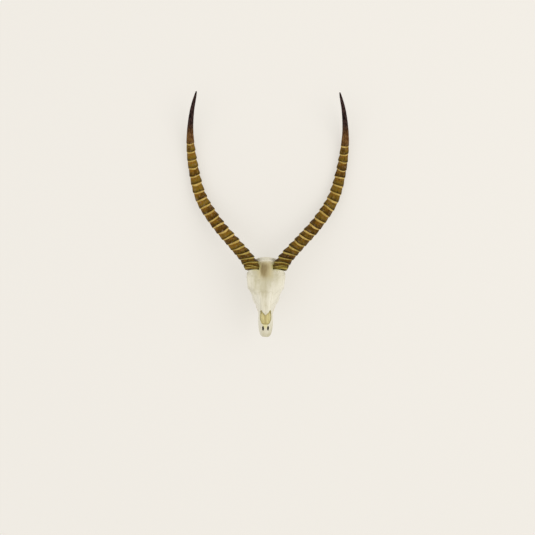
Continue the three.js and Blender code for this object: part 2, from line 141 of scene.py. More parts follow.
def ramp(x: Corners, low: float, high: float) -> Corners:
    """Rises smoothly from 0 at low to 1 at high; where high is below low, it falls instead.

    Args:
        x: The places to read it at.
        low: Where it is 0.
        high: Where it is 1.

    Returns:
        The values there.
    """
    t = np.clip((x - low) / (high - low), 0, 1)
    return t * t * (3 - 2 * t)


class Path:
    """A smooth line through points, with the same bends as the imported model's curves."""

    SAMPLES = 400
    NUDGE = 1e-4

    def __init__(self, points: Sequence[Sequence[float]], closed: bool = False) -> None:
        """Lays the line.

        Args:
            points: What it passes through.
            closed: Whether it returns to its first point.
        """
        inner = np.array(points, float)
        if closed:
            padded = [inner[-1], *inner, inner[0], inner[1]]
        else:
            padded = [2 * inner[0] - inner[1], *inner, 2 * inner[-1] - inner[-2]]
        self.padded = np.array(padded)
        self.spans = len(inner) - (0 if closed else 1)
        self.shares = np.linspace(0, 1, self.SAMPLES + 1)
        steps = np.linalg.norm(np.diff(self.at(self.shares), axis=0), axis=1)
        self.reached = np.concatenate([[0.0], np.cumsum(steps)])
        self.length = float(self.reached[-1])

    def at(self, share: Corners) -> Corners:
        """Finds points on the line.

        Args:
            share: How far through its stops each one is, from 0 to 1.

        Returns:
            One row per point.
        """
        spot = np.clip(share, 0, 1) * self.spans
        first = np.minimum(spot.astype(int), self.spans - 1)
        t = (spot - first)[:, None]
        p0, p1, p2, p3 = (self.padded[first + k] for k in range(4))
        pairs = ((p0, p1), (p1, p2), (p2, p3))
        gaps = [np.sqrt(np.linalg.norm(b - a, axis=1))[:, None] for a, b in pairs]
        start = (p1 - p0) / gaps[0] - (p2 - p0) / (gaps[0] + gaps[1]) + (p2 - p1) / gaps[1]
        end = (p2 - p1) / gaps[1] - (p3 - p1) / (gaps[1] + gaps[2]) + (p3 - p2) / gaps[2]
        start = start * gaps[1]
        end = end * gaps[1]
        square = -3 * p1 + 3 * p2 - 2 * start - end
        cube = 2 * p1 - 2 * p2 + start + end
        return p1 + start * t + square * t**2 + cube * t**3

    def heading(self, share: Corners) -> Corners:
        """The unit directions in which the line runs at shares of its stops."""
        ahead = self.at(np.minimum(share + self.NUDGE, 1)) - self.at(np.maximum(share - self.NUDGE, 0))
        return ahead / np.linalg.norm(ahead, axis=1)[:, None]

    def share_at(self, distance: Corners) -> Corners:
        """The shares of its stops at which the line has run given distances."""
        return np.interp(distance, self.reached, self.shares)


@dataclass(frozen=True)
class Section:
    """The middles of a body's sections along a path, with the two directions of each section."""

    middle: Corners
    across: Corners
    up: Corners

    @classmethod
    def on(cls, path: Path, share: Corners, upwards: Point) -> "Section":
        """Sets sections square to a path.

        Args:
            path: The line through their middles.
            share: Where on it they are, as shares of its stops.
            upwards: The direction that their up leans to.

        Returns:
            The sections.
        """
        ahead = path.heading(share)
        across = np.cross(np.array(upwards, float), ahead)
        across /= np.linalg.norm(across, axis=1)[:, None]
        return cls(path.at(share), across, np.cross(ahead, across))

    def rings(self, width: Corners, height: Corners) -> Corners:
        """Lays a ring of points in each section.

        Args:
            width: How far each point is across, a row per section.
            height: How far each point is up, a row per section.

        Returns:
            The rings' points.
        """
        across = self.across[:, None, :] * width[:, :, None]
        up = self.up[:, None, :] * height[:, :, None]
        return self.middle[:, None, :] + across + up


def turns(sides: int) -> Corners:
    """The angles of a ring's points."""
    return np.arange(sides) * 2 * math.pi / sides


@dataclass(frozen=True)
class Zone:
    """A part of the skull with soft edges, as seen from above.

    Each edge says where the zone has ended and where it is full. Across, it is measured from the middle
    to both sides, or along X alone where the zone is one-sided.
    """

    strength: float = 1.0
    across: tuple[Edge, ...] = ()
    lengthways: tuple[Edge, ...] = ()
    middle: float = 0.0
    one_sided: bool = False

    def share(self, places: Corners) -> Corners:
        """Says how much places are in the zone.

        Args:
            places: The places, a row each.

        Returns:
            From 0 outside it to its strength.
        """
        off = places[:, 0] - self.middle
        if not self.one_sided:
            off = np.abs(off)
        total = np.full(len(places), self.strength)
        for edge in self.across:
            total *= ramp(off, *edge)
        for edge in self.lengthways:
            total *= ramp(places[:, 1], *edge)
        return total


@dataclass(frozen=True)
class Lofted:
    """A closed mesh made through rings, with the ring and the place in it that each corner comes from."""

    mesh: bpy.types.Mesh
    ring: Corners
    spoke: Corners


def rotation(degrees: float, axis: str) -> Matrix:
    """A turn about an axis through the origin."""
    return Matrix.Rotation(math.radians(degrees), 4, axis)


def turn_shape(shape: bmesh.types.BMesh, turn: Matrix) -> None:
    """Turns a bmesh about the origin."""
    bmesh.ops.rotate(shape, verts=shape.verts, cent=(0, 0, 0), matrix=turn)


def spin(shape: bmesh.types.BMesh, steps: int) -> None:
    """Spins a bmesh's corners and edges once round Z."""
    bmesh.ops.spin(
        shape, geom=[*shape.verts, *shape.edges], axis=(0, 0, 1), cent=(0, 0, 0), angle=2 * math.pi,
        steps=steps, use_merge=True,
    )


def gathered(shells: Iterable[bpy.types.Mesh]) -> bmesh.types.BMesh:
    """Gathers meshes into one bmesh, and uses them up.

    Args:
        shells: The meshes.

    Returns:
        The bmesh.
    """
    whole = bmesh.new()
    for shell in shells:
        whole.from_mesh(shell)
        bpy.data.meshes.remove(shell)
    return whole


def mesh_of(shape: bmesh.types.BMesh, name: str) -> bpy.types.Mesh:
    """Turns a bmesh into a mesh, and frees it.

    Args:
        shape: The bmesh.
        name: What the mesh is called.

    Returns:
        The mesh.
    """
    mesh = bpy.data.meshes.new(name)
    shape.to_mesh(mesh)
    shape.free()
    return mesh


def finished_mesh(shape: bmesh.types.BMesh, name: str) -> bpy.types.Mesh:
    """Turns a bmesh into a mesh whose faces point outwards, and frees it.

    Args:
        shape: The bmesh.
        name: What the mesh is called.

    Returns:
        The mesh.
    """
    bmesh.ops.recalc_face_normals(shape, faces=shape.faces)
    if shape.calc_volume(signed=True) < 0:
        bmesh.ops.reverse_faces(shape, faces=shape.faces)
    return mesh_of(shape, name)


def wall_tree(mesh: bpy.types.Mesh) -> BVHTree:
    """Makes a tree that finds what is near on a mesh, or what a ray meets.

    Args:
        mesh: The mesh.

    Returns:
        The tree.
    """
    shape = bmesh.new()
    shape.from_mesh(mesh)
    tree = BVHTree.FromBMesh(shape)
    shape.free()
    return tree


def new_object(name: str, data: bpy.types.ID) -> bpy.types.Object:
    """Makes an object of a mesh, a lamp or a camera, and puts it in the scene.

    Args:
        name: What it is called.
        data: What it is made of.

    Returns:
        The object.
    """
    obj = bpy.data.objects.new(name, data)
    bpy.context.scene.collection.objects.link(obj)
    return obj


def loft(rings: Corners, name: str = "loft") -> Lofted:
    """Makes a closed surface through rings of points: a profile is spun, and its corners are then placed.

    Args:
        rings: The rings, each with the same number of points.
        name: What the mesh is called.

    Returns:
        The surface, its two ends closed at their middles.
    """
    count, sides = rings.shape[:2]
    shape = bmesh.new()
    profile = [(0.0, 0), *((1.0, i) for i in range(count)), (0.0, count - 1)]
    corners = [shape.verts.new((reach, 0.0, height)) for reach, height in profile]
    for pair in zip(corners, corners[1:]):
        shape.edges.new(pair)
    spin(shape, sides)
    bmesh.ops.remove_doubles(shape, verts=shape.verts, dist=1e-3)
    spots = np.array([vertex.co[:] for vertex in shape.verts])
    ring = np.rint(spots[:, 2]).astype(int)
    spoke = np.rint(np.arctan2(spots[:, 1], spots[:, 0]) / (2 * math.pi) * sides).astype(int) % sides
    outer = np.hypot(spots[:, 0], spots[:, 1]) > 0.5
    placed = np.where(outer[:, None], rings[ring, spoke], rings.mean(axis=1)[ring])
    for vertex, place in zip(shape.verts, placed):
        vertex.co = place
    return Lofted(finished_mesh(shape, name), ring, spoke)


@dataclass(frozen=True)
class Ball:
    """A rounded mass or hollow: its middle, its half sizes and its pitch about X in degrees."""

    at: Point
    radii: Point
    pitch: float = 0.0
    fineness: int = 5

    def mesh(self, side: Side = Side.LEFT, grown: float = 0.0) -> bpy.types.Mesh:
        """Makes the mass.

        Args:
            side: The side of the skull that it is on.
            grown: How much is added to its half sizes.

        Returns:
            Its mesh.
        """
        x, y, z = self.at
        size = Matrix.Diagonal((*(radius + grown for radius in self.radii), 1.0))
        shape = bmesh.new()
        place = Matrix.Translation((side.value * x, y, z)) @ rotation(self.pitch, "X") @ size
        bmesh.ops.create_icosphere(shape, subdivisions=self.fineness, radius=1.0, matrix=place)
        return finished_mesh(shape, "ball")


@dataclass(frozen=True)
class Bar:
    """A bar with a round section: stops of x, y, z, half width and, where it differs, half height."""

    stops: tuple[tuple[float, ...], ...]
    upwards: Point = (0, 0, 1)
    sides: int = 24
    steps_per_stop: int = 8

    def mesh(self, side: Side = Side.LEFT, grown: float = 0.0) -> bpy.types.Mesh:
        """Makes the bar.

        Args:
            side: The side of the skull that it is on.
            grown: How much is added to its half sizes.

        Returns:
            Its mesh.
        """
        path = Path([(side.value * stop[0], stop[1], stop[2]) for stop in self.stops])
        last = len(self.stops) - 1
        share = np.linspace(0, 1, last * self.steps_per_stop + 1)
        widths = tuple((i / last, stop[3] + grown) for i, stop in enumerate(self.stops))
        heights = tuple((i / last, stop[-1] + grown) for i, stop in enumerate(self.stops))
        section = Section.on(path, share, self.upwards)
        width = along(widths, share)[:, None] * np.cos(turns(self.sides))
        height = along(heights, share)[:, None] * np.sin(turns(self.sides))
        return loft(section.rings(width, height)).mesh


class Workpiece:
    """A mesh in millimetres that modifiers shape step by step."""

    def __init__(self, name: str, shells: Iterable[bpy.types.Mesh]) -> None:
        """Gathers closed shells into one mesh.

        Args:
            name: What the piece is called.
            shells: The shells, which are used up.
        """
        self.object = new_object(name, mesh_of(gathered(shells), name))

    @property
    def mesh(self) -> bpy.types.Mesh:
        """Its mesh as it now is."""
        return self.object.data

    def modify(self, kind: str, **settings: Any) -> None:
        """Puts a modifier on the piece and applies it.

        Args:
            kind: The modifier's type.
            **settings: Its settings.
        """
        modifier = self.object.modifiers.new(kind, kind)
        for name, value in settings.items():
            setattr(modifier, name, value)
        view = bpy.context.evaluated_depsgraph_get()
        shaped = bpy.data.meshes.new_from_object(self.object.evaluated_get(view))
        self.object.modifiers.clear()
        before = self.object.data
        self.object.data = shaped
        shaped.name = before.name
        bpy.data.meshes.remove(before)

    def fuse(self, grain: float) -> None:
        """Makes one skin round all of its shells, with faces of the given size."""
        self.modify("REMESH", mode="VOXEL", voxel_size=grain, use_smooth_shade=True)

    def soften(self, times: int) -> None:
        """Rounds its edges and the corners where shells meet."""
        self.modify("SMOOTH", factor=0.5, iterations=times)

    def cut(self, tool: "Workpiece") -> None:
        """Takes another piece out of it, and uses that one up.

        Args:
            tool: The other piece.
        """
        self.modify("BOOLEAN", operation="DIFFERENCE", solver="MANIFOLD", object=tool.object)
        mesh = tool.mesh
        bpy.data.objects.remove(tool.object)
        bpy.data.meshes.remove(mesh)


class Surface:
    """The corners of a mesh as arrays, to move them and to write values that finishes read."""

    def __init__(self, mesh: bpy.types.Mesh) -> None:
        """Reads the mesh's corners and their normals.

        Args:
            mesh: The mesh.
        """
        self.mesh = mesh
        self.places = np.empty((len(mesh.vertices), 3))
        mesh.vertices.foreach_get("co", self.places.ravel())
        self.normals = np.empty_like(self.places)
        mesh.vertex_normals.foreach_get("vector", self.normals.ravel())

    def noise(self, per_mm: Point, seed: float = 0.0) -> Corners:
        """Smooth noise over the corners.

        Args:
            per_mm: How many features there are to a millimetre each way.
            seed: Sets one noise apart from another.

        Returns:
            Values around 0, mostly between -0.6 and 0.6.
        """
        spots = self.places * np.array(per_mm) + seed
        return np.array([noise.noise(spot) for spot in spots.tolist()])

    def move_out(self, amount: Corners) -> None:
        """Moves each corner along its normal by an amount in millimetres."""
        self.place(self.places + self.normals * amount[:, None])

    def place(self, places: Corners) -> None:
        """Puts each corner at a new place.

        Args:
            places: The new places, a row each.
        """
        self.places = places
        self.mesh.vertices.foreach_set("co", places.ravel())
        self.mesh.update()

    def write(self, **named: Corners) -> None:
        """Keeps numbers or vectors for the corners.

        Args:
            **named: One number or vector for each corner, by the names that finishes read them by.
        """
        for name, values in named.items():
            kind, part = ("FLOAT", "value") if values.ndim == 1 else ("FLOAT_VECTOR", "vector")
            attribute = self.mesh.attributes.new(name, kind, "POINT")
            attribute.data.foreach_set(part, values.astype(np.float32).ravel())


@dataclass(frozen=True)
class Stand:
    """How the skull lies in the frame: on its horns and prongs, with the snout lifted."""

    tilt: float = 6.7
    back: float = -80.04
    lift: float = 31.72
    lowest: Vector = field(default_factory=lambda: cad_box[0])
    highest: Vector = field(default_factory=lambda: cad_box[1])

    def matrix(self) -> Matrix:
        """The turn and the shift from the skull's axes in millimetres to the frame in metres."""
        shift = Matrix.Translation((0, self.back, self.lift))
        return Matrix.Scale(MILLIMETRE, 4) @ shift @ rotation(-self.tilt, "X")

    def bring(self, mesh: bpy.types.Mesh) -> None:
        """Brings a mesh into the frame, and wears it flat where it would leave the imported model's box.

        Args:
            mesh: The mesh, in the skull's own axes.
        """
        mesh.transform(self.matrix())
        surface = Surface(mesh)
        surface.place(np.clip(surface.places, np.array(self.lowest), np.array(self.highest)))


def show(
    stand: Stand, obj: bpy.types.Object, material: bpy.types.Material, slot: Slot, *replaces: str,
) -> bpy.types.Object:
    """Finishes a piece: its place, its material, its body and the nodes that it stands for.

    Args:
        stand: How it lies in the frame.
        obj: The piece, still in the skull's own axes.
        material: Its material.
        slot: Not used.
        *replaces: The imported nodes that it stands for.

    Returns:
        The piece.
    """
    stand.bring(obj.data)
    obj.data.materials.clear()
    obj.data.materials.append(material)
    obj.data.shade_smooth()
    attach(obj, "root")
    if replaces:
        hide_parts(*replaces)
    obj.data.calc_loop_triangles()
    log.info("%s: %d triangles", obj.name, len(obj.data.loop_triangles))
    return obj


class Value:
    """A number that varies over a surface. Arithmetic on it adds Math nodes."""

    def __init__(self, nodes: "Nodes", socket: bpy.types.NodeSocket) -> None:
        """Wraps a node's output."""
        self.nodes = nodes
        self.socket = socket

    def _math(self, operation: str, first: Any, second: Any) -> "Value":
        """Adds a Math node on two numbers or values."""
        return self.nodes.add("ShaderNodeMath", {"operation": operation}, {0: first, 1: second})

    def __add__(self, other: Any) -> "Value":
        """The sum with a number or value."""
        return self._math("ADD", self, other)

    __radd__ = __add__

    def __sub__(self, other: Any) -> "Value":
        """The value less another."""
        return self._math("SUBTRACT", self, other)

    def __rsub__(self, other: Any) -> "Value":
        """Another less the value."""
        return self._math("SUBTRACT", other, self)

    def __mul__(self, other: Any) -> "Value":
        """The product with a number or value."""
        return self._math("MULTIPLY", self, other)

    __rmul__ = __mul__

    def ramp(self, low: float, high: float) -> "Value":
        """Rises smoothly from 0 at low to 1 at high."""
        return self.nodes.add(
            "ShaderNodeMapRange", {"interpolation_type": "SMOOTHSTEP"},
            {"Value": self, "From Min": low, "From Max": high},
        )


class Nodes:
    """The nodes of one material."""

    def __init__(self, name: str) -> None:
        """Starts an empty material.

        Args:
            name: What it is called.
        """
        self.material = bpy.data.materials.new(name)
        self.material.use_nodes = True
        self.tree = self.material.node_tree
        self.tree.nodes.clear()

    def add(
        self, kind: str, settings: dict[str, Any] | None = None, inputs: dict[Any, Any] | None = None,
        output: int | str = 0,
    ) -> Value:
        """Adds a node.

        Args:
            kind: Its type.
            settings: Its settings, which are set first.
            inputs: The numbers or values of its inputs, by name or number.
            output: Which of its outputs is wanted.

        Returns:
            That output.
        """
        node = self.tree.nodes.new(kind)
        for name, value in (settings or {}).items():
            setattr(node, name, value)
        for key, value in (inputs or {}).items():
            if isinstance(value, Value):
                self.tree.links.new(value.socket, node.inputs[key])
            else:
                node.inputs[key].default_value = value
        return Value(self, node.outputs[output])

    def kept(self, name: str, output: str = "Fac") -> Value:
        """A value that the mesh keeps for each corner."""
        return self.add("ShaderNodeAttribute", {"attribute_name": name}, output=output)

    def mix(self, factor: Any, first: Any, second: Any) -> Value:
        """Mixes two colours.

        Args:
            factor: How much of the second there is.
            first: The first colour.
            second: The second colour.

        Returns:
            The mixed colour.
        """
        settings = {"data_type": "RGBA", "blend_type": "MIX", "clamp_factor": True}
        return self.add("ShaderNodeMix", settings, {0: factor, 6: first, 7: second}, output=2)

    def layers(self, base: Any, *coats: tuple[Any, Any]) -> Value:
        """Lays colours over a colour, one after another.

        Args:
            base: The lowest colour.
            *coats: How much of each next colour there is, and that colour.

        Returns:
            What shows of them.
        """
        for factor, colour in coats:
            base = self.mix(factor, base, colour)
        return base

    def scaled(self, vector: Value, scale: Point) -> Value:
        """A vector with each part multiplied."""
        return self.add("ShaderNodeVectorMath", {"operation": "MULTIPLY"}, {0: vector, 1: scale})

    def noise(self, spot: Value, scale: Point, detail: float = 3.0, roughness: float = 0.55) -> Value:
        """Noise from 0 to 1 with its middle at 0.5.

        Args:
            spot: Where it is read, in millimetres.
            scale: How many features there are to a millimetre each way.
            detail: How many finer layers it has.
            roughness: How strong the finer layers are.

        Returns:
            The noise.
        """
        inputs = {"Vector": self.scaled(spot, scale), "Scale": 1.0, "Detail": detail, "Roughness": roughness}
        return self.add("ShaderNodeTexNoise", {"normalize": True}, inputs)

    def bump(self, height: Value, relief: float) -> dict[str, Value]:
        """Bends the surface by a height.

        Args:
            height: The height, around 0 to 1.
            relief: How many millimetres a height of 1 is.

        Returns:
            The shader's input for it, by its name.
        """
        inputs = {"Height": height, "Distance": relief * MILLIMETRE, "Strength": 1.0}
        return {"Normal": self.add("ShaderNodeBump", None, inputs, output="Normal")}

    def close(
        self, colour: Value, roughness: Any, specular: float, more: dict[str, Any],
    ) -> bpy.types.Material:
        """Ends the material with its shader.

        Args:
            colour: Its colour.
            roughness: How dull it is.
            specular: How much light it mirrors, where 0.5 is as glass.
            more: The shader's other inputs by name.

        Returns:
            The material.
        """
        inputs = {"Base Color": colour, "Roughness": roughness, "Specular IOR Level": specular, **more}
        shader = self.add("ShaderNodeBsdfPrincipled", None, inputs, output="BSDF")
        output = self.tree.nodes.new("ShaderNodeOutputMaterial")
        self.tree.links.new(shader.socket, output.inputs["Surface"])
        return self.material


@dataclass(frozen=True)
class BoneFinish:
    """Clean dry bone: greenish cream with pale streaks along it, stained between the horns, with painted
    light and painted shade.
    """

    # Painted light: this whiter bone is laid on the lit side of the face and over slopes that would fall in
    # shade.
    painted_light_chalk: Colour = screen(238, 236, 226)
    pale: Colour = screen(218, 214, 198)
    cream: Colour = screen(194, 189, 165)
    streak: Colour = screen(190, 188, 156)
    # Partly a real stain and partly painted shade of the dent between the horns.
    stain: Colour = screen(142, 126, 88)
    tint: Colour = screen(196, 182, 136)
    lining: Colour = screen(214, 208, 144)
    halo: Colour = screen(190, 184, 104)
    seam: Colour = screen(160, 148, 112)
    # Painted shade, with brown dirt, in the bone's hollows.
    recess: Colour = screen(168, 146, 100)
    # Painted shade: the dark inside the two blind slits of the nose.
    slit: Colour = screen(52, 47, 46)
    roughness: float = 0.52
    specular: float = 0.25
    relief: float = 0.09

    def material(self) -> bpy.types.Material:
        """Makes the material.

        Returns:
            The material. It reads the values that the skull's mesh keeps for each corner.
        """
        nodes = Nodes("dry_bone")
        spot = nodes.kept("spot", "Vector")
        clouds = nodes.noise(spot, (0.16, 0.10, 0.16), 3)
        streaks = nodes.noise(spot, (1.5, 0.13, 1.5), 4, 0.6)
        fibres = nodes.noise(spot, (5.0, 0.5, 5.0), 3, 0.6)
        pores = nodes.noise(spot, (4.5, 3.0, 4.5), 2)
        pitting = pores.ramp(0.56, 0.74)
        # side holds painted light: how much paler the bone is painted where light falls from the side and
        # over shaded slopes.
        side = nodes.kept("side")
        recess = nodes.kept("recess")
        colour = nodes.layers(
            self.cream,
            # The painted light also pushes the mottling towards the paler bone.
            ((clouds + side * 0.3).ramp(0.40, 0.72), self.pale),
            (streaks.ramp(0.46, 0.72) * 0.55, self.streak),
            # Painted light: whiter bone on the lit side and on shaded slopes.
            (side.ramp(0.3, 1.9) * 0.75, self.painted_light_chalk),
            (nodes.kept("seam") * (0.08 + fibres * 0.3), self.seam),
            (nodes.kept("tint") * (0.35 + streaks * 0.6), self.tint),
            (nodes.kept("halo") * (0.45 + streaks * 0.7), self.halo),
            # The dent between the horns: real stain and painted shade.
            (nodes.kept("stain") * (0.6 + streaks * 0.7), self.stain),
            # Painted shade with brown dirt deep in the hollows; the pores below are also painted darker
            # there.
            (recess * (0.55 + pores * 0.4), self.recess),
            (pitting * (0.05 + recess * 0.3), self.seam),
            (nodes.kept("lining") * (0.75 + fibres * 0.4), self.lining),
            # Painted shade inside the two slits.
            (nodes.kept("slit"), self.slit),
        )
        roughness = self.roughness + (streaks - 0.5) * 0.25 + recess * 0.15
        height = fibres * 0.5 + streaks * 0.5 - pitting * 0.5
        return nodes.close(colour, roughness, self.specular, nodes.bump(height, self.relief))


@dataclass(frozen=True)
class HornFinish:
    """Ringed horn: brown between its rings, a pale yellow ledge under each crest that is partly painted
    highlight, painted shade just past each crest, and a dark tip.
    """

    brown: Colour = screen(90, 62, 12)
    olive: Colour = screen(126, 100, 28)
    russet: Colour = screen(132, 90, 24)
    # Dark brown for smears and fibres, and for the painted shade just past each ring's crest.
    crest: Colour = screen(42, 28, 6)
    # Grey flecks: partly the horn's own grey, partly painted sheen.
    grey_and_sheen: Colour = screen(136, 114, 90)
    # Pale yellow of each ring's step: partly its own colour, partly painted highlight where light catches the
    # step.
    ledge: Colour = screen(208, 180, 106)
    dull_ledge: Colour = screen(176, 148, 74)
    green_ledge: Colour = screen(166, 152, 78)
    foot: Colour = screen(128, 116, 26)
    amber: Colour = screen(116, 78, 20)
    red_brown: Colour = screen(84, 52, 26)
    tan: Colour = screen(124, 92, 52)
    tip: Colour = screen(14, 6, 5)
    tip_streak: Colour = screen(66, 48, 45)
    roughness: float = 0.42
    specular: float = 0.04
    relief: float = 0.12

    def material(self) -> bpy.types.Material:
        """Makes the material.

        Returns:
            The material. It reads the values that the horns' meshes keep for each corner.
        """
        nodes = Nodes("ringed_horn")
        spot = nodes.kept("spot", "Vector")
        share = nodes.kept("share")
        phase = nodes.kept("phase")
        tone = nodes.kept("tone")
        patches = nodes.noise(spot, (0.30, 0.30, 0.24), 3)
        flecks = nodes.noise(spot, (0.8, 0.8, 0.6), 3, 0.6)
        smears = nodes.noise(spot, (1.1, 1.1, 0.5), 2, 0.6)
        fibres = nodes.noise(spot, (3.6, 3.6, 0.28), 3, 0.6)
        hairs = nodes.noise(spot, (9.0, 9.0, 0.6), 2)
        # crest holds painted shade just past each ring's crest.
        crest = nodes.kept("crest")
        golden = nodes.kept("golden")
        # ledge: the step under each crest, painted pale, partly its own colour and partly painted highlight.
        on_ledge = nodes.kept("ledge")
        low = 1 - share.ramp(0.02, 0.2)
        upper = (share + (fibres - 0.5) * 0.05).ramp(0.70, 0.75)
        dark = (share + (fibres - 0.5) * 0.08).ramp(0.76, 0.83)
        streaks = (smears * 0.6 + fibres * 0.4).ramp(0.40, 0.58)
        ledge = nodes.layers(
            self.ledge, (patches.ramp(0.40, 0.62) * 0.75, self.dull_ledge), (low * 0.7, self.green_ledge),
        )
        colour = nodes.layers(
            self.brown,
            ((patches + tone * 0.22).ramp(0.36, 0.60), self.olive),
            (phase.ramp(0.45, 1.0) * patches.ramp(0.38, 0.62), self.russet),
            # Painted shade just past each crest.
            (crest * (0.3 + smears), self.crest),
            # Grey flecks, partly the horn's own grey and partly painted sheen.
            (flecks.ramp(0.54, 0.66) * 0.6, self.grey_and_sheen),
            (smears.ramp(0.54, 0.70) * (0.8 - golden * 0.35), self.crest),
            (fibres.ramp(0.52, 0.75) * (0.5 - golden * 0.2), self.crest),
            ((1 - golden) * 0.18, self.crest),
            # Darker near the foot, with the painted crest shade laid stronger there.
            (low * (0.15 + crest * 0.7 + smears.ramp(0.40, 0.60) * 0.35), self.crest),
            (
                nodes.kept("foot") * nodes.kept("rim") * (0.3 + fibres * 0.7),
                nodes.mix(golden * 0.8, self.foot, self.amber),
            ),
            # The step's pale colour, with painted highlight.
            (on_ledge * (0.55 + flecks * 0.8), ledge),
            (upper * 0.85, nodes.mix(smears.ramp(0.45, 0.62), self.red_brown, self.tan)),
            (dark, nodes.mix(streaks, self.tip, self.tip_streak)),
        )
        roughness = self.roughness + (fibres - 0.5) * 0.3 + on_ledge * 0.15
        height = fibres * 0.6 + hairs * 0.25 + flecks * 0.5
        return nodes.close(colour, roughness, self.specular, nodes.bump(height, self.relief))


@dataclass(frozen=True)
class ToothFinish:
    """Worn cheek teeth: ivory enamel, browned towards the bone and dark in the folds of the crown."""

    enamel: Colour = screen(226, 216, 184)
    root: Colour = screen(170, 142, 92)
    fold: Colour = screen(84, 62, 38)
    dentine: Colour = screen(188, 160, 108)
    roughness: float = 0.3
    specular: float = 0.6
    relief: float = 0.05

    def material(self) -> bpy.types.Material:
        """Makes the material.

        Returns:
            The material. It reads the values that the teeth's meshes keep for each corner.
        """
        nodes = Nodes("worn_tooth")
        spot = nodes.kept("spot", "Vector")
        clouds = nodes.noise(spot, (0.8, 0.8, 0.8), 3)
        lines = nodes.noise(spot, (5.0, 5.0, 0.8), 3)
        root = nodes.kept("root")
        colour = nodes.layers(
            self.enamel,
            (root * (0.5 + clouds * 0.8), self.root),
            (lines.ramp(0.52, 0.75) * 0.35, self.root),
            (nodes.kept("dentine"), self.dentine),
            (nodes.kept("fold") * 0.9, self.fold),
        )
        roughness = self.roughness + root * 0.25
        return nodes.close(colour, roughness, self.specular, nodes.bump(lines + clouds, self.relief))


@dataclass(frozen=True)
class LiningFinish:
    """The dry yellow skin on the thin bones inside the nose."""

    yellow: Colour = screen(210, 200, 146)
    brown: Colour = screen(184, 170, 110)
    bare: Colour = screen(208, 200, 160)
    shade: Colour = screen(150, 134, 82)
    roughness: float = 0.6
    specular: float = 0.25
    relief: float = 0.12

    def material(self) -> bpy.types.Material:
        """Makes the material.

        Returns:
            The material. It reads the values that the piece's mesh keeps for each corner.
        """
        nodes = Nodes("nose_lining")
        spot = nodes.kept("spot", "Vector")
        fibres = nodes.noise(spot, (2.2, 0.4, 2.2), 4, 0.6)
        colour = nodes.layers(
            self.yellow,
            (fibres.ramp(0.45, 0.72) * 0.7, self.brown),
            (nodes.kept("rim"), self.bare),
            (nodes.kept("groove") * 0.55, self.shade),
        )
        roughness = self.roughness + (fibres - 0.5) * 0.2
        return nodes.close(colour, roughness, self.specular, nodes.bump(fibres, self.relief))


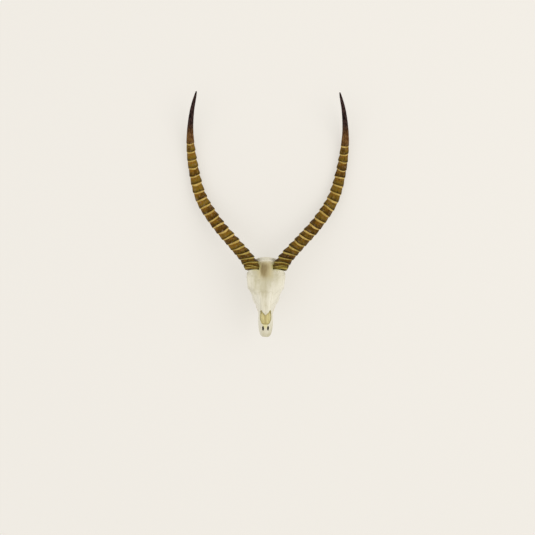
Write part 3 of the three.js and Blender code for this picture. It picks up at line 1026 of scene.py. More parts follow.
@dataclass
class Cranium:
    """The skull's bone, from the snout to the joint of the neck.

    The allowances are how much its masses are grown, as softening takes some off again.
    """

    stand: Stand
    horns: Sequence["Horn"]
    teeth: Sequence["ToothRow"]
    grain: float = 0.27
    allowance: float = 0.12
    face_allowance: float = 0.15
    roof_allowance: float = 0.25
    sides: int = 72
    face_stations: int = 60
    roof_stations: int = 44
    face_fall: float = 0.35
    palate_rise: float = 0.25
    roof_dip: float = 0.15
    face_top: Stops = ((0, -0.3), (1.5, 0.5), (5, 1.1), (12, 2.1), (20, 2.5), (28, 2.2), (34, 2.2))
    face_ridge: Stops = ((0, 1.2), (4, 2.5), (12, 2.8), (20, 3.0), (28, 4.6), (34, 7.2))
    face_side: Stops = (
        (0.7, 2.1), (1.9, 3.2), (4.2, 4.0), (8, 4.6), (13, 4.7), (17.5, 4.65), (21, 6.3), (24, 8.4),
        (28, 9.0), (31, 9.0), (33.5, 8.0), (35.5, 6.5),
    )
    face_side_height: Stops = (
        (0, -0.9), (8, -2.8), (14, -5.2), (18, -8.0), (24, -9.6), (28, -9.4), (34, -6),
    )
    face_bottom: Stops = (
        (0, -1.5), (1.5, -2.4), (6, -5.0), (12, -7.6), (16, -10.2), (22, -13.2), (28.5, -16.1), (31, -15.4),
        (33.5, -12.8), (35.5, -9.6),
    )
    face_palate: Stops = (
        (0, 1.2), (4, 3.2), (12, 3.4), (16, 4.3), (22, 5.9), (28.5, 7.1), (31, 6.2), (35.5, 3),
    )
    roof_top: Stops = ((27, 1.9), (33, 2.2), (39, 2.5), (43, 1.9), (46.5, 1.2), (49, 0.5), (50.8, -1.1))
    roof_slope: Stops = ((39, 0), (42, 0.7), (44, 2.0), (47, 2.6), (50.8, 1.0))
    roof_half: Stops = (
        (27, 3.6), (30, 7.6), (33, 10.9), (36.5, 12.3), (40, 12.5), (42.2, 11.5), (43.6, 10.0), (48, 6.4),
        (50.8, 3.6),
    )
    roof_bottom: Stops = ((27, 0.9), (30, -0.8), (33, -1.6), (40, -2.8), (46, -5), (50.8, -6))
    roof_shoulder: float = 0.72
    roof_underside: float = 0.7
    eye_rim_at: Point = (11.2, 37.1, -3.5)
    eye_rim_radius: float = 4.8
    eye_rim_thickness: float = 0.95
    eye_rim_turn: float = 4.5
    nose_outline: Stops = (
        (0, 13.9), (2.0, 16.0), (3.2, 18.0), (3.6, 14.5), (3.5, 11.6), (2.7, 9.2), (1.6, 8.3),
    )
    nose_floor: float = -3.2
    nose_floor_slope: float = -16
    nose_depth: float = 9
    low_bumps: float = 0.10
    fine_bumps: float = 0.05
    seam_depth: float = 0.09
    dent_depth: float = 0.38
    front: Edge = (0.2, 0.6)
    stain_middle: float = -0.8
    stain_half: Stops = ((38.7, 2.1), (48.7, 3.0))
    stain_depth: Stops = (
        (36.8, 0), (38.6, 0.3), (40.6, 0.8), (42.8, 1), (46.8, 1), (48.2, 0.6), (49.3, 0.25), (50.2, 0),
    )
    tint_share: Stops = ((36, 0), (38.5, 0.3), (41.0, 0.85), (44, 1), (48.2, 1), (49.6, 0.5), (50.4, 0))
    tinted: Zone = Zone(across=((6.5, 2.5),), middle=-0.4)
    halo_width: float = 1.7
    # Where the painted shade and dirt of the hollows fades in, away from the horns' feet.
    clear_of_horns: Edge = (0.4, 1.5)
    in_nose: Zone = Zone(across=((3.95, 3.6),), lengthways=((8.2, 9.8), (22, 19)))
    nose_skin_depth: Edge = (0.5, 1.1)
    above_palate: Edge = (1.0, 2.2)
    facing_out: Edge = (0.35, 0.05)
    between_slits: Zone = Zone(0.7, ((2.0, 0.8),), ((5.6, 7.2), (9.6, 8.6)), -0.2)
    slit_reach: Edge = (0.95, 2.1)
    slit_edge: Edge = (1.05, 0.85)
    slit_top: Edge = (0.25, 0.8)
    slit_bottom: Edge = (-3.5, -2.6)
    # Painted light: these zones paint the bone paler on the brow's outer steps, the snout's lit +X side and
    # shaded -X flank, the whole snout, and the band between the horns' feet that lies in their shade.
    pale: tuple[Zone, ...] = (
        Zone(1.0, ((5.5, 12.0),), ((26, 34),)),
        Zone(1.0, ((0.0, 3.5),), ((40, 30), (0, 18)), one_sided=True),
        Zone(1.0, ((-2.0, -4.5),), ((32, 26),), one_sided=True),
        Zone(0.35, (), ((32, 24),)),
        Zone(0.3, (), ((32, 24), (8, 18))),
        Zone(1.2, (), ((48.6, 50.2),)),
    )
    seam_wander: float = 0.35
    foot_clearance: Stops = ((0, 0), (1.0, 0.05), (2.0, 0.15), (3.0, 0.3), (4.5, 0.6))

    def face(self) -> bpy.types.Mesh:
        """Makes the snout, cheeks, palate and nose bridge.

        Returns:
            Their mesh.
        """
        y = np.linspace(self.face_side[0][0], self.face_side[-1][0], self.face_stations)
        top = along(self.face_top, y)
        bottom = along(self.face_bottom, y)
        middle = np.zeros_like(y)
        return self._body(y, self.face_allowance, [
            (middle, top),
            (along(self.face_ridge, y), top - self.face_fall),
            (along(self.face_side, y), along(self.face_side_height, y)),
            (along(self.face_palate, y), bottom + self.palate_rise),
            (middle, bottom),
        ])

    def roof(self) -> bpy.types.Mesh:
        """Makes the broad plate of bone between the eyes and up to the crown.

        Returns:
            Its mesh.
        """
        y = np.linspace(self.roof_top[0][0], self.roof_top[-1][0], self.roof_stations)
        top = along(self.roof_top, y)
        bottom = along(self.roof_bottom, y)
        edge = along(self.roof_half, y)
        slope = along(self.roof_slope, y)
        middle = np.zeros_like(y)
        return self._body(y, self.roof_allowance, [
            (middle, top - self.roof_dip),
            (edge * self.roof_shoulder, top - slope),
            (edge, (top + bottom) / 2 - slope / 2),
            (edge * self.roof_underside, bottom),
            (middle, bottom),
        ])

    def _body(self, y: Corners, grown: float, half: list[tuple[Corners, Corners]]) -> bpy.types.Mesh:
        """Makes a body that is the same on both sides.

        Args:
            y: Where its sections are.
            grown: How much it is grown all round.
            half: The x and z of the points of its +X side, from top to bottom, for each section.

        Returns:
            Its mesh.
        """
        outline = [*half, *((-x, z) for x, z in half[-2:0:-1])]
        rings = []
        for i, station in enumerate(y):
            section = Path([(x[i], station, z[i]) for x, z in outline], closed=True)
            rings.append(section.at(np.arange(self.sides) / self.sides))
        mesh = loft(np.array(rings)).mesh
        Surface(mesh).move_out(np.full(len(mesh.vertices), grown))
        return mesh

    def eye_rim(self, side: Side) -> bpy.types.Mesh:
        """Makes the rim of the eye socket on one side.

        Args:
            side: The side.

        Returns:
            Its mesh.
        """
        shape = bmesh.new()
        radius = self.eye_rim_thickness + self.allowance
        bmesh.ops.create_circle(shape, cap_ends=False, radius=radius, segments=20)
        turn_shape(shape, rotation(90, "X"))
        bmesh.ops.translate(shape, verts=shape.verts, vec=(self.eye_rim_radius, 0, 0))
        spin(shape, 64)
        turn_shape(shape, rotation(-side.value * self.eye_rim_turn, "Z") @ rotation(90, "Y"))
        x, y, z = self.eye_rim_at
        bmesh.ops.translate(shape, verts=shape.verts, vec=(side.value * x, y, z))
        return finished_mesh(shape, "eye_rim")

    def nose_opening(self) -> bpy.types.Mesh:
        """Makes the room of the nose opening: its roof's bones end over it in a point.

        Returns:
            Its mesh.
        """
        left = list(self.nose_outline)
        outline = [*left, *((-x, y) for x, y in left[:0:-1])]
        front = left[-1][1]
        shape = bmesh.new()
        corners = [shape.verts.new((x, y - front, self.nose_floor)) for x, y in outline]
        base = shape.faces.new(corners)
        grown = bmesh.ops.extrude_face_region(shape, geom=[base])["geom"]
        moved = [item for item in grown if isinstance(item, bmesh.types.BMVert)]
        bmesh.ops.translate(shape, verts=moved, vec=(0, 0, self.nose_depth))
        turn_shape(shape, rotation(self.nose_floor_slope, "X"))
        bmesh.ops.translate(shape, verts=shape.verts, vec=(0, front, 0))
        return finished_mesh(shape, "nose_opening")

    def masses(self) -> list[bpy.types.Mesh]:
        """Makes every mass of bone, overlapping.

        Returns:
            Their meshes.
        """
        both = [
            *(Bar(stops) for stops in (CHEEKBONE, BEFORE_EYE, BEHIND_EYE, HORN_SEAT, EAR_TUBE, PALATE_WING)),
            Bar(PRONG, upwards=(1, 0, 0)), EAR_DRUM, NECK_JOINT,
        ]
        middle = [
            BRAINCASE, BACK_OF_HEAD, Bar(BETWEEN_EYES), Bar(CREST, upwards=(0, 1, 0)), Bar(SKULL_BASE),
        ]
        return [
            self.face(), self.roof(),
            *(mass.mesh(grown=self.allowance) for mass in middle),
            *(mass.mesh(side, self.allowance) for side in Side for mass in both),
            *(self.eye_rim(side) for side in Side),
        ]

    def hollows(self) -> list[bpy.types.Mesh]:
        """Makes every hollow, overlapping.

        Returns:
            Their meshes.
        """
        both = [EYE_SOCKET, EYE_SOCKET_END, CHEEK_NERVE_HOLE, NOSE_SLIT, BROW_HOLE, *BACK_HOLES]
        return [
            self.nose_opening(), NOSE_HOLLOW.mesh(), Bar(PALATE_VAULT).mesh(), Bar(THROAT).mesh(),
            Bar(CORD_HOLE).mesh(),
            *(hollow.mesh(side) for side in Side for hollow in both),
            *(row.trough() for row in self.teeth),
            *(horn.room(raised, grown) for horn in self.horns for raised, grown in self.foot_clearance),
        ]

    def build(self) -> bpy.types.Object:
        """Fuses the masses, cuts the hollows, works the surface and dresses the bone.

        Returns:
            The skull's bone.
        """
        piece = Workpiece("skull_bone", self.masses())
        piece.fuse(self.grain)
        piece.soften(9)
        hollow = Workpiece("hollows", self.hollows())
        hollow.fuse(self.grain)
        hollow.soften(1)
        piece.cut(hollow)
        piece.fuse(self.grain)
        piece.soften(3)
        self.carve(piece.mesh)
        return show(self.stand, piece.object, BoneFinish().material(), Slot.BONE, "cranium")

    def carve(self, mesh: bpy.types.Mesh) -> None:
        """Works dents, seams and unevenness into the bone, and keeps the values that its finish reads.

        Args:
            mesh: The bone's mesh, in the skull's own axes.
        """
        surface = Surface(mesh)
        uncarved = surface.places
        front = ramp(surface.normals[:, 2], *self.front)
        seam = self.seams(surface)
        stain = self.stain(surface) * front
        low = self.low_bumps * surface.noise((0.3, 0.22, 0.3))
        fine = self.fine_bumps * surface.noise((1.0, 0.5, 1.0), 7.0)
        surface.move_out(low + fine - self.seam_depth * seam - self.dent_depth * stain)
        away = np.min([horn.distance_from_foot(surface.places) for horn in self.horns], axis=0)
        surface.write(
            # stain: the dent between the horns, its dark partly real stain and partly painted shade.
            spot=surface.places, seam=seam, stain=stain,
            # side: painted light, from the pale zones.
            side=sum(zone.share(surface.places) for zone in self.pale),
            halo=ramp(away, self.halo_width, 0.0),
            tint=self.tinted.share(surface.places) * along(self.tint_share, surface.places[:, 1]),
            lining=self.lining(uncarved, surface.normals, front),
            # slit: painted shade inside the two slits.
            slit=self.slit(uncarved),
            # recess: painted shade and brown dirt in the hollows, kept off the bone beside the horns' feet.
            recess=self.recess(surface) * ramp(away, *self.clear_of_horns),
        )

    def lining(self, places: Corners, normals: Corners, front: Corners) -> Corners:
        """Says where the bone has the nose's yellow skin: in the opening, and between the two slits.

        Args:
            places: The bone's corners.
            normals: The way each of them faces.
            front: How much each of them faces the front.

        Returns:
            How much skin each corner has, from 0 to 1.
        """
        x, y, z = places.T
        depth = along(self.face_top, y) - self.face_fall - z
        inside = self.in_nose.share(places) * ramp(depth, *self.nose_skin_depth)
        inside *= ramp(z - along(self.face_bottom, y), *self.above_palate)
        inside *= ramp(normals[:, 0] * np.sign(x), *self.facing_out)
        return np.maximum(inside, self.between_slits.share(places) * front)

    def slit(self, places: Corners) -> Corners:
        """How much each corner is painted dark as shade inside one of the two slits, from 0 to 1.

        Args:
            places: The bone's corners.

        Returns:
            The share of each.
        """
        x, y, z = places.T
        slit_x, slit_y, _ = NOSE_SLIT.at
        across, lengthways = self.slit_reach
        reach = np.hypot((np.abs(x) - slit_x) / across, (y - slit_y) / lengthways)
        depth = along(self.face_top, y) - self.face_fall - z
        return ramp(reach, *self.slit_edge) * ramp(depth, *self.slit_top) * ramp(z, *self.slit_bottom)

    def stain(self, surface: Surface) -> Corners:
        """How deep each corner is in the dent between the horns, darkened partly by a real stain and partly
        by painted shade, from 0 to 1.

        Args:
            surface: The bone's corners.

        Returns:
            The depth of each.
        """
        x, y, _ = surface.places.T
        half = np.interp(y, *zip(*self.stain_half))
        off = x - self.stain_middle + 0.7 * surface.noise((0.5, 0.25, 0.5), 3.0)
        across = np.where(off < 0, ramp(-off, half + 0.9, half - 1.1), ramp(off, half + 1.6, half - 2.6))
        return across * along(self.stain_depth, y)

    def seams(self, surface: Surface) -> Corners:
        """How close each corner is to a seam between two bones, from 0 to 1.

        Args:
            surface: The bone's corners.

        Returns:
            The nearness of each.
        """
        x, y, z = surface.places.T
        wavy = self.seam_wander * surface.noise((0.9, 0.9, 0.9), 11.0)
        from_above = np.stack([np.abs(x) + wavy, y + wavy], axis=1)
        from_side = np.stack([y + wavy, z + wavy], axis=1)
        up = surface.normals[:, 2]
        out = np.abs(surface.normals[:, 0])
        total = np.zeros(len(x))
        for line in SEAMS_ABOVE:
            total = np.maximum(total, self.nearness(from_above, line) * ramp(up, 0.3, 0.6))
        for line in SEAMS_SIDE:
            total = np.maximum(total, self.nearness(from_side, line) * ramp(out, 0.35, 0.6))
        return total

    @staticmethod
    def nearness(spots: Corners, line: Sequence[tuple[float, float]], width: float = 0.28) -> Corners:
        """Says how near spots are to a line of straight stretches.

        Args:
            spots: The spots, two numbers each.
            line: The line's corners.
            width: How far from the line the nearness wears off.

        Returns:
            1 on the line, towards 0 away from it.
        """
        nearest = np.full(len(spots), np.inf)
        for start, end in zip(np.array(line, float), np.array(line[1:], float)):
            ahead = end - start
            t = np.clip(((spots - start) @ ahead) / (ahead @ ahead), 0, 1)
            nearest = np.minimum(nearest, np.linalg.norm(spots - start - t[:, None] * ahead, axis=1))
        return np.exp(-((nearest / width) ** 2))

    @staticmethod
    def recess(surface: Surface, reach: float = 7.0, rays: int = 10) -> Corners:
        """Finds how shut in each corner is, for the painted shade and brown dirt in the bone's hollows.

        Args:
            surface: The bone's corners.
            reach: How far away a wall still counts, in millimetres.
            rays: How many ways are tried from each corner.

        Returns:
            From 0 in the open to 1 deep in a hole.
        """
        tree = wall_tree(surface.mesh)
        draw = random.Random(5)
        ways = []
        while len(ways) < rays:
            way = Vector((draw.uniform(-1, 1), draw.uniform(-1, 1), draw.uniform(-1, 1)))
            if 0.2 < way.length < 1:
                ways.append(way.normalized())
        shut = np.zeros(len(surface.places))
        for i, (place, normal) in enumerate(zip(surface.places.tolist(), surface.normals.tolist())):
            out = Vector(normal)
            start = Vector(place) + out * 0.05
            blocked = 0.0
            for way in ways:
                if tree.ray_cast(start, (out * 1.05 + way).normalized(), reach)[0] is not None:
                    blocked += 1.0
            shut[i] = blocked / rays
        return ramp(shut, 0.35, 1.0)


@dataclass(frozen=True)
class Unevenness:
    """Noise over a horn: its strength in millimetres, and how fast it changes round the horn and along it."""

    strength: float
    around: float
    ahead: float
    seed: float

    def over(self, distance: Corners, turn: Corners, side: Side) -> Corners:
        """Reads it over a horn.

        Args:
            distance: The distances from the foot, a row per section.
            turn: The angles of the points.
            side: The horn's side, which has noise of its own.

        Returns:
            Millimetres around 0.
        """
        lag = self.seed + 10 * side.value
        angles = turn[0].tolist()
        ring = [(self.around * math.cos(angle), self.around * math.sin(angle)) for angle in angles]
        return self.strength * np.array([
            [noise.noise((a + self.seed, b - self.seed, self.ahead * s + lag)) for a, b in ring]
            for s in distance[:, 0].tolist()
        ])


@dataclass(frozen=True)
class Skin:
    """A horn's skin, as grids with a row per section and a column per turn.

    own is how far from the foot the leaning ring through a place is measured.
    """

    section: Section
    distance: Corners
    own: Corners
    ring: Corners
    phase: Corners
    crest_at: Corners
    radius: Corners
    across: Corners
    up: Corners
    push: Corners

    def rings(self, full: Corners) -> Corners:
        """Lays the skin's points at given distances from the horn's line."""
        ahead = np.cross(self.section.across, self.section.up)[:, None, :]
        return self.section.rings(full * self.across, full * self.up) + ahead * self.push[:, :, None]


@dataclass
class Horn:
    """One ringed horn.

    The room that it takes out of the bone is a little smaller than its foot, so the bone closes round it.
    """

    side: Side
    stand: Stand
    stations: int = 620
    sides: int = 84
    tip_rounding: float = 0.9
    tip_least: float = 0.02
    depth_to_width: float = 1.04
    ring_count: int = 21
    ring_step: float = 5.3
    ring_growth: float = 0.009
    ring_crowding: float = 0.695
    ring_crowded: float = 2.2
    ring_crest_at: float = 0.17
    ledge_least: float = 0.42
    ring_fall: float = 1.6
    rings_fade: float = 0.4
    ring_relief: tuple[float, float] = (1.0, 0.65)
    rings_low: int = 3
    share_all: float = 0.72
    share_front: float = 0.28
    share_inner: float = 0.2
    room_gap: float = -0.12
    room_behind: float = -0.2
    room_length: float = 14
    room_stations: int = 90
    foot_reach: float = 1.5
    wander_full_at: float = 24.0
    wandering: Unevenness = Unevenness(0.9, 0.55, 0.16, 3.0)
    ribs: Unevenness = Unevenness(0.13, 2.4, 0.07, 9.0)
    bumps: Unevenness = Unevenness(0.12, 0.8, 0.5, 5.0)
    bumps_full_at: float = 4
    band_edge: float = 0.16
    band_past: float = 1.4
    band_before: float = 0.4
    shade_edge: float = 2
    shade_end: float = 0.62
    foot_colour: Edge = (1.9, 0.9)
    rim_from: float = 0.3
    lean: tuple[float, float] = (1.008, 0.992)
    radius: Stops = (
        (0, 4.55), (0.028, 4.75), (0.07, 4.25), (0.2, 4.05), (0.38, 3.98), (0.5, 3.62), (0.6, 3.25),
        (0.7, 2.72), (0.82, 1.88), (0.92, 1.27), (0.97, 0.85), (1, 0.4),
    )
    line_points: tuple[Point, ...] = (
        (9.3, 44.3, -0.5), (9.6, 46.9, -1.2), (12.6, 51.8, -2.7), (20.9, 61.1, -6.2), (34.4, 76.7, -12.0),
        (44.0, 92.3, -15.4), (49.4, 113.1, -15.2), (51.1, 131.3, -9.8), (49.6, 147.0, -1.4),
        (46.2, 159.1, 8.1),
    )
    front_shift: Stops = (
        (0, 0), (2, -0.5), (11, -2.0), (30, -2.1), (52, -1.6), (73, -1.1), (100, -0.7), (125, -0.5),
        (140, 0),
    )
    inner_shift: Stops = (
        (0, 0), (2, -0.7), (5, -1.8), (11, -2.2), (20, -1.4), (33, -1.0), (43, -0.4), (50, -0.1), (80, -0.1),
        (125, -0.3), (140, 0),
    )
    foot_slant: tuple[float, float] = (0.05, 0.45)
    foot_round: float = 0.6
    foot_sag: float = 0.35
    foot_shaped: float = 5.0
    shift_passes: int = 8

    def __post_init__(self) -> None:
        """Lays the horn's line and works out where its rings start."""
        lean = self.lean[0] if self.side is Side.LEFT else self.lean[1]
        points = [
            (self.side.value * x * (lean if i else 1), y, z) for i, (x, y, z) in enumerate(self.line_points)
        ]
        self.path = Path(points)
        starts = [0.0]
        for i in range(self.ring_count):
            crowding = 1 - self.ring_crowding * math.exp(-i / self.ring_crowded)
            starts.append(starts[i] + (self.ring_step + self.ring_growth * i) * crowding)
        self.starts = np.array(starts)

    def skin(self, distance: Corners) -> Skin:
        """Works out the horn's skin.

        Args:
            distance: How far its sections are from the foot.

        Returns:
            The skin there.
        """
        section = Section.on(self.path, self.path.share_at(distance), (0, 0, 1))
        turn = turns(self.sides)[None, :]
        cos = np.cos(turn)
        sin = np.sin(turn)
        out = section.across[:, None, :] * cos[:, :, None] + section.up[:, None, :] * sin[:, :, None]
        facing = out[:, :, 2]
        inner = -self.side.value * out[:, :, 0]
        grid = np.broadcast_to(distance[:, None], facing.shape)
        own = grid
        for _ in range(self.shift_passes):
            frontwards = along(self.front_shift, own) * sin
            own = grid - (frontwards + along(self.inner_shift, own) * cos * self.side.value)
        ring, phase, crest_at, relief = self.rings_at(own + self.wander(grid, turn))
        radius = along(self.radius, own / self.path.length)
        share = self.share_all + self.share_front * facing + self.share_inner * inner
        bumps = self.ripples(grid, turn) * np.minimum(radius / self.bumps_full_at, 1)
        full = radius + relief * share + bumps
        inwards = cos * self.side.value
        middle, slope = self.foot_slant
        push = middle - slope * inwards + self.foot_round * np.clip(inwards, 0, 1) ** 4 - self.foot_sag * sin
        push = push * ramp(grid, self.foot_shaped, 0)
        return Skin(section, grid, own, ring, phase, crest_at, full, cos, sin * self.depth_to_width, push)

    def room(self, raised: float = 0.0, grown: float = 0.0) -> bpy.types.Mesh:
        """Makes the room that the horn's foot takes out of the bone: the foot's own skin, a little shrunk.

        Args:
            raised: How far it is moved up, where the bone over the foot is cleared away.
            grown: How much it is grown again.

        Returns:
            Its mesh.
        """
        skin = self.skin(np.linspace(0, self.room_length, self.room_stations))
        rings = skin.rings(skin.radius + self.room_gap + grown)
        behind = rings[:1] - self.path.heading(np.zeros(1)) * self.room_behind
        return loft(np.concatenate([behind, rings]) + np.array([0, 0, raised])).mesh

    def distance_from_foot(self, places: Corners) -> Corners:
        """How far places are from the skin of the horn's foot, in millimetres.

        Args:
            places: The places, a row each.

        Returns:
            The distances, none above the foot's reach.
        """
        room = self.room()
        tree = wall_tree(room)
        bpy.data.meshes.remove(room)
        near = places[:, 1] > self.line_points[0][1] - 2 * self.radius[0][1]
        away = np.full(len(places), self.foot_reach)
        for i in np.flatnonzero(near).tolist():
            found = tree.find_nearest(places[i].tolist(), self.foot_reach)[3]
            if found is not None:
                away[i] = found
        return away

    def build(self, material: bpy.types.Material) -> bpy.types.Object:
        """Makes the horn, its rings and its rounded tip, and dresses it.

        Args:
            material: Its material.

        Returns:
            The horn.
        """
        length = self.path.length
        distance = np.linspace(0, length, self.stations)
        skin = self.skin(distance)
        rounded = self.tip_rounding * self.radius[-1][1]
        rounding = np.sqrt(np.clip((length - distance) / rounded, 0, 1))[:, None]
        full = skin.radius * np.maximum(rounding, self.tip_least)
        rings = skin.rings(full)
        lofted = loft(rings, f"{self.side.word}_horn")
        pick = (lofted.ring, lofted.spoke)

        draw = random.Random(17 + self.side.value)
        tones = np.array([draw.uniform(-1, 1) for _ in range(self.ring_count + 2)])
        phase = skin.phase
        crest_at = skin.crest_at
        soft = self.band_edge / np.diff(self.starts)[skin.ring]
        ringed = ramp(skin.own, self.starts[-1] + self.rings_fade, self.starts[-1] - self.rings_fade)
        past_crest = ramp(phase, crest_at + self.band_past * soft, crest_at - self.band_before * soft)
        shaded = ramp(phase, crest_at, crest_at + self.shade_edge * soft)
        surface = Surface(lofted.mesh)
        reach = np.linalg.norm(surface.places - rings.mean(axis=1)[lofted.ring], axis=1)
        foot_radius = self.radius[0][1]
        surface.write(
            spot=np.stack([full * skin.across, full * skin.up, skin.distance], axis=2)[pick],
            share=(skin.distance / length)[pick],
            phase=(phase * ringed)[pick],
            tone=tones[skin.ring][pick],
            # ledge: the step under each crest, partly its own colour and partly painted highlight.
            ledge=(ramp(phase, 0.0, soft) * past_crest * ringed)[pick],
            # crest: painted shade just past each ring's crest.
            crest=(shaded * ramp(phase, self.shade_end, crest_at) * ringed)[pick],
            foot=ramp(skin.own, *self.foot_colour)[pick],
            golden=np.full(len(reach), 0.0 if self.side is Side.LEFT else 1.0),
            rim=ramp(reach, self.rim_from * foot_radius, foot_radius),
        )
        obj = new_object(lofted.mesh.name, lofted.mesh)
        return show(self.stand, obj, material, Slot.HORN, f"horn_{self.side.word}")

    def rings_at(self, distance: Corners) -> tuple[Corners, Corners, Corners, Corners]:
        """Reads the rings at distances from the foot, each measured along the horn where a ring lies.

        Args:
            distance: The distances.

        Returns:
            The number of the ring there, how far through it the place is, where its crest is, and how
            far the horn stands out.
        """
        ring = np.clip(np.searchsorted(self.starts, distance, side="right") - 1, 0, self.ring_count - 1)
        span = np.diff(self.starts)[ring]
        phase = np.clip((distance - self.starts[ring]) / span, 0, 1)
        crest_at = np.maximum(self.ring_crest_at, self.ledge_least / span)
        low = np.minimum(1, (self.ring_count - ring) / self.rings_low)
        first, last = self.ring_relief
        relief = low * (first + (last - first) * ring / self.ring_count)
        rise = np.where(phase < crest_at, ramp(phase / crest_at, 0.0, 1.0) - 0.5, 0.0)
        fall = (np.clip(phase - crest_at, 0, 1) / (1 - crest_at)) ** self.ring_fall
        end = np.where(ring == self.ring_count - 1, 0.5, 1.0)
        height = np.where(phase < crest_at, rise, 0.5 - fall * end)
        height = np.where(distance >= self.starts[-1], 0.0, height)
        return ring, phase, crest_at, relief * height

    def wander(self, distance: Corners, turn: Corners) -> Corners:
        """How much the rings wander along the horn, in millimetres."""
        return self.wandering.over(distance, turn, self.side) * ramp(distance, -6, self.wander_full_at)

    def ripples(self, distance: Corners, turn: Corners) -> Corners:
        """How uneven the horn's skin is, in millimetres: ribs along it and low bumps."""
        return self.ribs.over(distance, turn, self.side) + self.bumps.over(distance, turn, self.side)


@dataclass(frozen=True)
class ToothSize:
    """One cheek tooth: its node's first words, its length along the row, its width and its lobes."""

    name: str
    length: float
    width: float
    lobes: int


